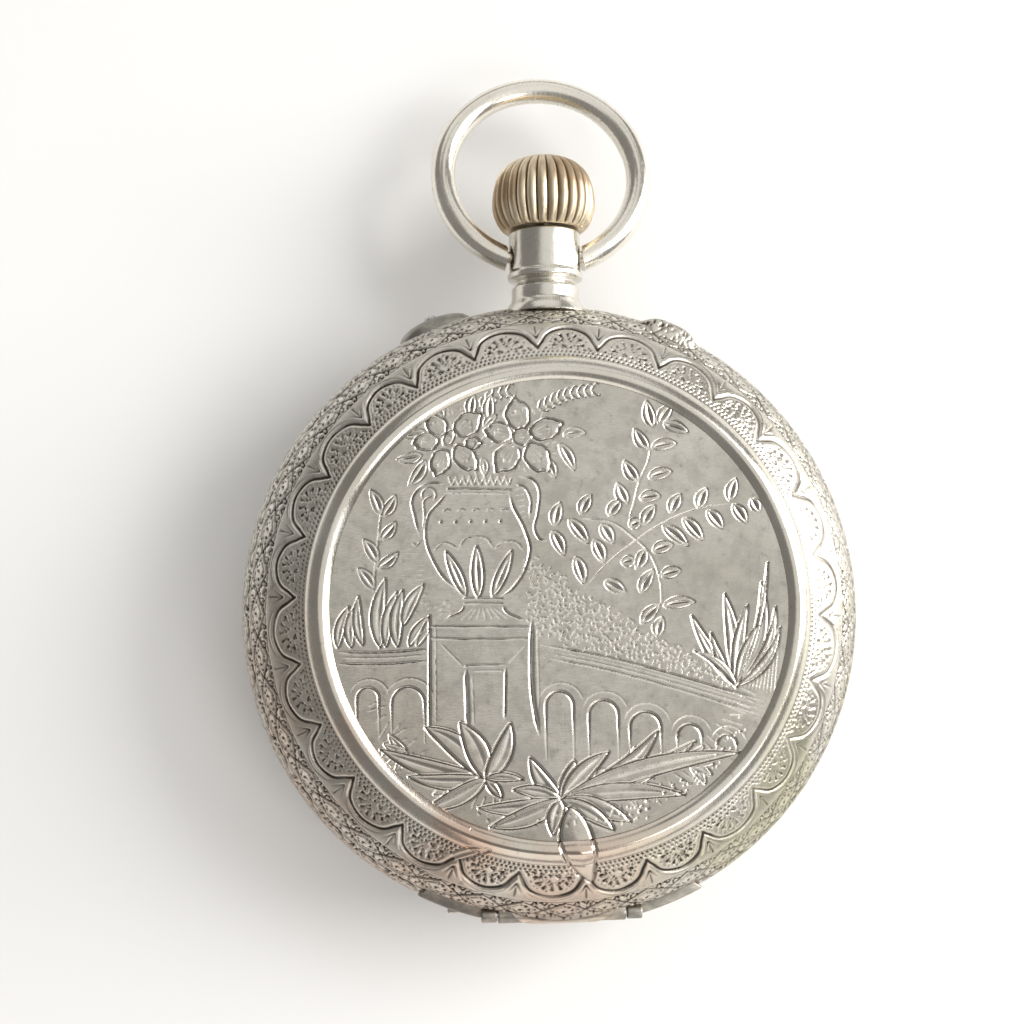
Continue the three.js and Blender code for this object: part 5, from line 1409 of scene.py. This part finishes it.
def tube(name, body, material, path, radii, sides=32, clear=0.0):
    """A round bar along a path in mm, cut flat so that it stays `clear` of the plane x = 0."""
    path = np.array(path, float)
    ahead = np.gradient(path, axis=0)
    ahead /= np.linalg.norm(ahead, axis=1)[:, None]
    up = np.array([0, 0, 1.0]) if abs(ahead[0][2]) < 0.9 else np.array([0, 1.0, 0])
    theta = np.arange(sides) / sides * TAU
    rings = []
    for at, d, r in zip(path, ahead, radii):
        side = np.cross(d, up)
        side /= np.linalg.norm(side)
        up = np.cross(side, d)
        rings.append(at + r * (np.cos(theta)[:, None] * side + np.sin(theta)[:, None] * up))
    count = len(rings)
    points = np.vstack([*rings, path[:1], path[-1:]])
    toward = np.where(points[:, 0] < 0, -1, 1)
    low = points[:, 1] < path[:, 1].mean()
    points[:, 0] = np.where(low, toward * np.maximum(np.abs(points[:, 0]), clear), points[:, 0])
    faces = quads(count, sides).tolist()
    faces += [[i, (i + 1) % sides, count * sides] for i in range(sides)]
    last = (count - 1) * sides
    faces += [[last + (i + 1) % sides, last + i, count * sides + 1] for i in range(sides)]
    return mesh_piece(name, body, material, points, faces)


BOW_PIVOT = np.array([0, 19.85, STEM_Z])
BOW_RADIUS, BOW_CENTRE, BOW_WIRE, BOW_DROOP = 5.6, 5.1, 0.71, math.radians(-13)
BOW_GAP = 2.09  # the ends' distance from the middle of the pendant


def bow():
    """A round wire loop whose ends turn on two pivots in the pendant."""
    opening = math.asin(2.0 / BOW_RADIUS)
    angles = np.linspace(-math.pi / 2 + opening, 3 * math.pi / 2 - opening, 150)
    flat = np.stack([BOW_RADIUS * np.cos(angles), BOW_CENTRE + BOW_RADIUS * np.sin(angles), 0 * angles], -1)
    lean = np.array(Matrix.Rotation(BOW_DROOP, 3, "X"))
    radii = BOW_WIRE * (1 - 0.03 * np.cos(angles * 3) ** 2)
    loop = tube("bow_loop", "bow", BRIGHT, flat @ lean.T + BOW_PIVOT, radii, 40, BOW_GAP)
    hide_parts("bow")
    for side, x in (("left", -1), ("right", 1)):
        line = [(x * far, BOW_PIVOT[1], STEM_Z) for far in (1.25, 1.3, 2.0, 2.75)]
        tube(f"bow_pivot_{side}", "bow", BRIGHT, line, [0.28, 0.35, 0.35, 0.35], 24)


GUARD_HOLE = 0.47  # radius of the hole that the pin works in
GUARD_HALF_WIDTH, GUARD_HALF_HEIGHT = 2.15, 1.15
# distances from the middle of the watch, and the dome's height
GUARD_BACK, GUARD_FOOT, GUARD_RISE = 16.6, 16.75, 0.8
TOWARD_PIN = Matrix.Translation((0, 0, PIN_Z)) @ Matrix.Rotation(PIN_ANGLE - math.pi / 2, 4, "Z")


def pin_guard():
    """An oval dome round the setting pin's hole, and the pin, drawn along +Y and turned to their place."""
    sides, rows = 64, 22
    theta = np.arange(sides) / sides * TAU
    turn = np.linspace(0, 1, rows)[:, None] * math.pi / 2
    share, height = np.sin(turn), np.cos(turn)
    across = GUARD_HALF_WIDTH * share + GUARD_HOLE * (1 - share)
    upright = GUARD_HALF_HEIGHT * share + GUARD_HOLE * (1 - share)
    dome_points = np.stack(
        [across * np.cos(theta), GUARD_FOOT + GUARD_RISE * height + 0 * theta, upright * np.sin(theta)], -1
    )
    back = dome_points[-1:].copy()
    back[..., 1] = GUARD_BACK
    bore = np.stack(
        [GUARD_HOLE * np.cos(theta), GUARD_BACK + 0 * theta, GUARD_HOLE * np.sin(theta)], -1
    )[None]
    outline = np.concatenate([dome_points, back, bore]).reshape(-1, 3)
    everything = [TOWARD_PIN @ Vector(p) for p in outline]
    piece = mesh_piece(
        "pin_guard_lens", "case", DARK, everything, quads(rows + 2, sides, wrap_rows=True)
    )
    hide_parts("pin_guard")
    shaft = turned(
        "setting_pin_shaft", "setting_pin", STEEL,
        [(0, 13.95), (0.42, 13.95), (0.42, 17.6), (0.25, 17.78), (0, 17.8)], 40,
        TOWARD_PIN @ ALONG_Y, radius=0.08, closed=False,
    )
    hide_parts("setting_pin")


# ---------------------------------------------------------------- dial

DIAL_FACE = 3.35
FIGURE_HEIGHT, FIGURE_FOOT = 1.75, 8.7  # the numerals' height, and the radius where they stand
TRACK = (10.95, 11.45)  # radii of the two thin rings of the minute track
NUMERALS = ["XII", "I", "II", "III", "IIII", "V", "VI", "VII", "VIII", "IX", "X", "XI"]
# Strokes of each figure: start, end and thickness, in shares of its height, and how wide the figure is.
STROKES = {
    "I": ([((0.11, 0), (0.11, 1), 0.15)], 0.26),
    "V": ([((0.08, 1), (0.3, 0), 0.16), ((0.52, 1), (0.3, 0), 0.06)], 0.64),
    "X": ([((0.08, 1), (0.52, 0), 0.16), ((0.52, 1), (0.08, 0), 0.06)], 0.64),
}


def dial_markings():
    """Numerals, minute strokes and two thin rings, painted on the side that looks down."""
    points, faces = [], []

    def stroke(a, b, half):
        """A thin flat bar between two places."""
        a, b = np.array(a), np.array(b)
        n = np.array([a[1] - b[1], b[0] - a[0]])
        n = n * half / np.linalg.norm(n)
        base = len(points)
        for z in (DIAL_FACE - 0.02, DIAL_FACE + 0.01):
            points.extend([(*q, z) for q in (a - n, a + n, b + n, b - n)])
        sides = [[base + k, base + (k + 1) % 4, base + 4 + (k + 1) % 4, base + 4 + k] for k in range(4)]
        faces.extend([[base + 3, base + 2, base + 1, base], [base + 4, base + 5, base + 6, base + 7], *sides])

    def at(turn, u, r):
        """A place at a turn of the dial: `u` to the figure's right and `r` out from the middle."""
        up = np.array([-math.sin(turn), math.cos(turn)])
        right = np.array([-math.cos(turn), -math.sin(turn)])
        return up * r + right * u

    tall, foot = FIGURE_HEIGHT, FIGURE_FOOT
    for hour, numeral in enumerate(NUMERALS):
        turn = hour * TAU / 12
        wide = sum(STROKES[c][1] for c in numeral) * tall
        left = -wide / 2
        for c in numeral:
            for (x1, y1), (x2, y2), thick in STROKES[c][0]:
                start, end = (
                    at(turn, left + x1 * tall, foot + y1 * tall),
                    at(turn, left + x2 * tall, foot + y2 * tall)
                )
                stroke(start, end, thick * tall / 2)
            for y in (0, 1):
                ends = [
                    at(turn, left + (x + STROKES[c][1] * k) * tall, foot + y * tall)
                    for x, k in ((-0.01, 0), (0.0, 0.9))
                ]
                stroke(*ends, 0.03)
            left += STROKES[c][1] * tall
    for minute in range(60):
        turn = minute * TAU / 60
        heavy = minute % 5 == 0
        stroke(at(turn, 0, TRACK[0]), at(turn, 0, TRACK[1]), 0.085 if heavy else 0.03)
    for radius in TRACK:
        for k in range(180):
            a, b = k * TAU / 180, (k + 1) * TAU / 180
            stroke(at(a, 0, radius), at(b, 0, radius), 0.02)
    mesh_piece("dial_markings", "case", INK, points, faces)


# ---------------------------------------------------------------- camera, light and floor


EYE, AIM = Vector((-9.2, -2.6, 100.0)), Vector((-2.1, 5.5, 6.0))  # the camera's place, and what it looks at
ROLL = math.radians(-1.1)
SENSOR_WIDTH, FOCAL_LENGTH = 36, 59.77
ROOM_COLOUR = (0.25, 0.243, 0.234, 1)
FLOOR_HALF = 1.6  # half of the floor's side, in metres


def camera():
    """Over the watch, as if held above a table."""
    data = bpy.data.cameras.new("camera")
    eye = bpy.data.objects.new("camera", data)
    bpy.context.scene.collection.objects.link(eye)
    ahead = (AIM - EYE).normalized()
    right = ahead.cross(Vector((0, 1, 0))).normalized()
    up = right.cross(ahead)
    right, up = right * math.cos(ROLL) + up * math.sin(ROLL), up * math.cos(ROLL) - right * math.sin(ROLL)
    turn = Matrix((right, up, -ahead)).transposed().to_4x4()
    eye.matrix_world = Matrix.Translation(EYE * MM) @ turn
    data.sensor_width = SENSOR_WIDTH
    data.lens = FOCAL_LENGTH
    data.clip_start, data.clip_end = 0.005, 20
    bpy.context.scene.camera = eye


def panel(name, at, size, power, colour=(1, 1, 1), target=(0, 0, 5), mirrored=True):
    """A soft light. Its place is in mm, its size in metres and its power in watts."""
    data = bpy.data.lights.new(name, "AREA")
    data.shape = "RECTANGLE"
    data.size, data.size_y = size
    data.energy = power
    data.color = colour
    lamp = bpy.data.objects.new(name, data)
    bpy.context.scene.collection.objects.link(lamp)
    lamp.location = Vector(at) * MM
    lamp.rotation_euler = (Vector(target) - Vector(at)).to_track_quat("-Z", "Y").to_euler()
    lamp.visible_camera = False
    lamp.visible_glossy = mirrored


def studio():
    """The room, the lights and a pale table."""
    world = bpy.data.worlds.new("room")
    bpy.context.scene.world = world
    world.use_nodes = True
    background = world.node_tree.nodes["Background"]
    background.inputs["Color"].default_value = ROOM_COLOUR
    background.inputs["Strength"].default_value = 1.0
    panel("window", (430, 105, 260), (0.34, 0.42), 3.2, (1.0, 0.99, 0.97))
    panel("ceiling", (100, 130, 520), (0.6, 0.55), 0.61, (1.0, 0.985, 0.95))
    panel("fill", (0, 0, 560), (1.25, 1.25), 1.6, mirrored=False)
    panel("front", (80, -430, 190), (0.5, 0.28), 0.42, (1.0, 0.96, 0.91))
    panel("lamp", (210, -210, 350), (0.17, 0.17), 0.28, (1.0, 0.98, 0.95))
    panel("top", (0, 430, 210), (0.5, 0.25), 0.25, (1.0, 0.99, 0.97))
    bpy.context.scene.view_settings.view_transform = "Standard"
    mesh = bpy.data.meshes.new("floor")
    half = FLOOR_HALF
    mesh.from_pydata(
        [(-half, -half, 0), (half, -half, 0), (half, half, 0), (-half, half, 0)], [], [(0, 1, 2, 3)]
    )
    floor = bpy.data.objects.new("floor", mesh)
    bpy.context.scene.collection.objects.link(floor)
    paper = Paint("white_table", Roughness=0.6)
    shade = paper.ramp(paper.noise(0.02, 3), (0.3, (0.80, 0.795, 0.79)), (0.7, (0.83, 0.825, 0.82)))
    mesh.materials.append(paper.finish(shade))


# ---------------------------------------------------------------- the watch

EDGE_WIDTH = 0.035 * MM  # how far the edges of the movement's pieces are broken
BROKEN_ABOVE, SHARP_ABOVE = math.radians(50), math.radians(35)


def smooth_by_angle():
    """Shades round faces smooth and keeps the edges above SHARP_ABOVE sharp."""
    group = bpy.data.node_groups.new("smooth_by_angle", "GeometryNodeTree")
    group.interface.new_socket("Geometry", in_out="INPUT", socket_type="NodeSocketGeometry")
    group.interface.new_socket("Geometry", in_out="OUTPUT", socket_type="NodeSocketGeometry")
    start, end = group.nodes.new("NodeGroupInput"), group.nodes.new("NodeGroupOutput")
    faces, edges = (
        group.nodes.new("GeometryNodeSetShadeSmooth"), group.nodes.new("GeometryNodeSetShadeSmooth")
    )
    edges.domain = "EDGE"
    angle = group.nodes.new("GeometryNodeInputMeshEdgeAngle")
    flat = group.nodes.new("FunctionNodeCompare")
    flat.data_type, flat.operation = "FLOAT", "LESS_THAN"
    flat.inputs["B"].default_value = SHARP_ABOVE
    link = group.links.new
    link(angle.outputs["Unsigned Angle"], flat.inputs["A"])
    link(start.outputs["Geometry"], faces.inputs["Geometry"])
    link(faces.outputs["Geometry"], edges.inputs["Geometry"])
    link(flat.outputs["Result"], edges.inputs["Shade Smooth"])
    link(edges.outputs["Geometry"], end.inputs["Geometry"])
    return group


camera()
studio()
back_cover(engrave_scene())
case_band()
dust_cover()
bezel_and_crystal()
pendant()
crown()
bow()
pin_guard()
dial_markings()
click_spring()

PAINT = {
    "brass": BRASS, "steel": STEEL, "blue_steel": BLUED, "nickel": NICKEL, "ruby": RUBY, "enamel": ENAMEL,
    "silver": INSIDE, "gilt": FROSTED, "glass": GLASS,
}
SLOTS = {row["node"]: row["material_slot"] for row in frame["record"]["subparts"]}
SMOOTH = smooth_by_angle()
for name, node in frame["nodes"].items():
    node.data.materials.clear()
    node.data.materials.append(PAINT[SLOTS[name]])
    edge = node.modifiers.new("edges", "BEVEL")
    edge.width = EDGE_WIDTH
    edge.segments = 2
    edge.limit_method = "ANGLE"
    edge.angle_limit = BROKEN_ABOVE
    shading = node.modifiers.new("shading", "NODES")
    shading.node_group = SMOOTH
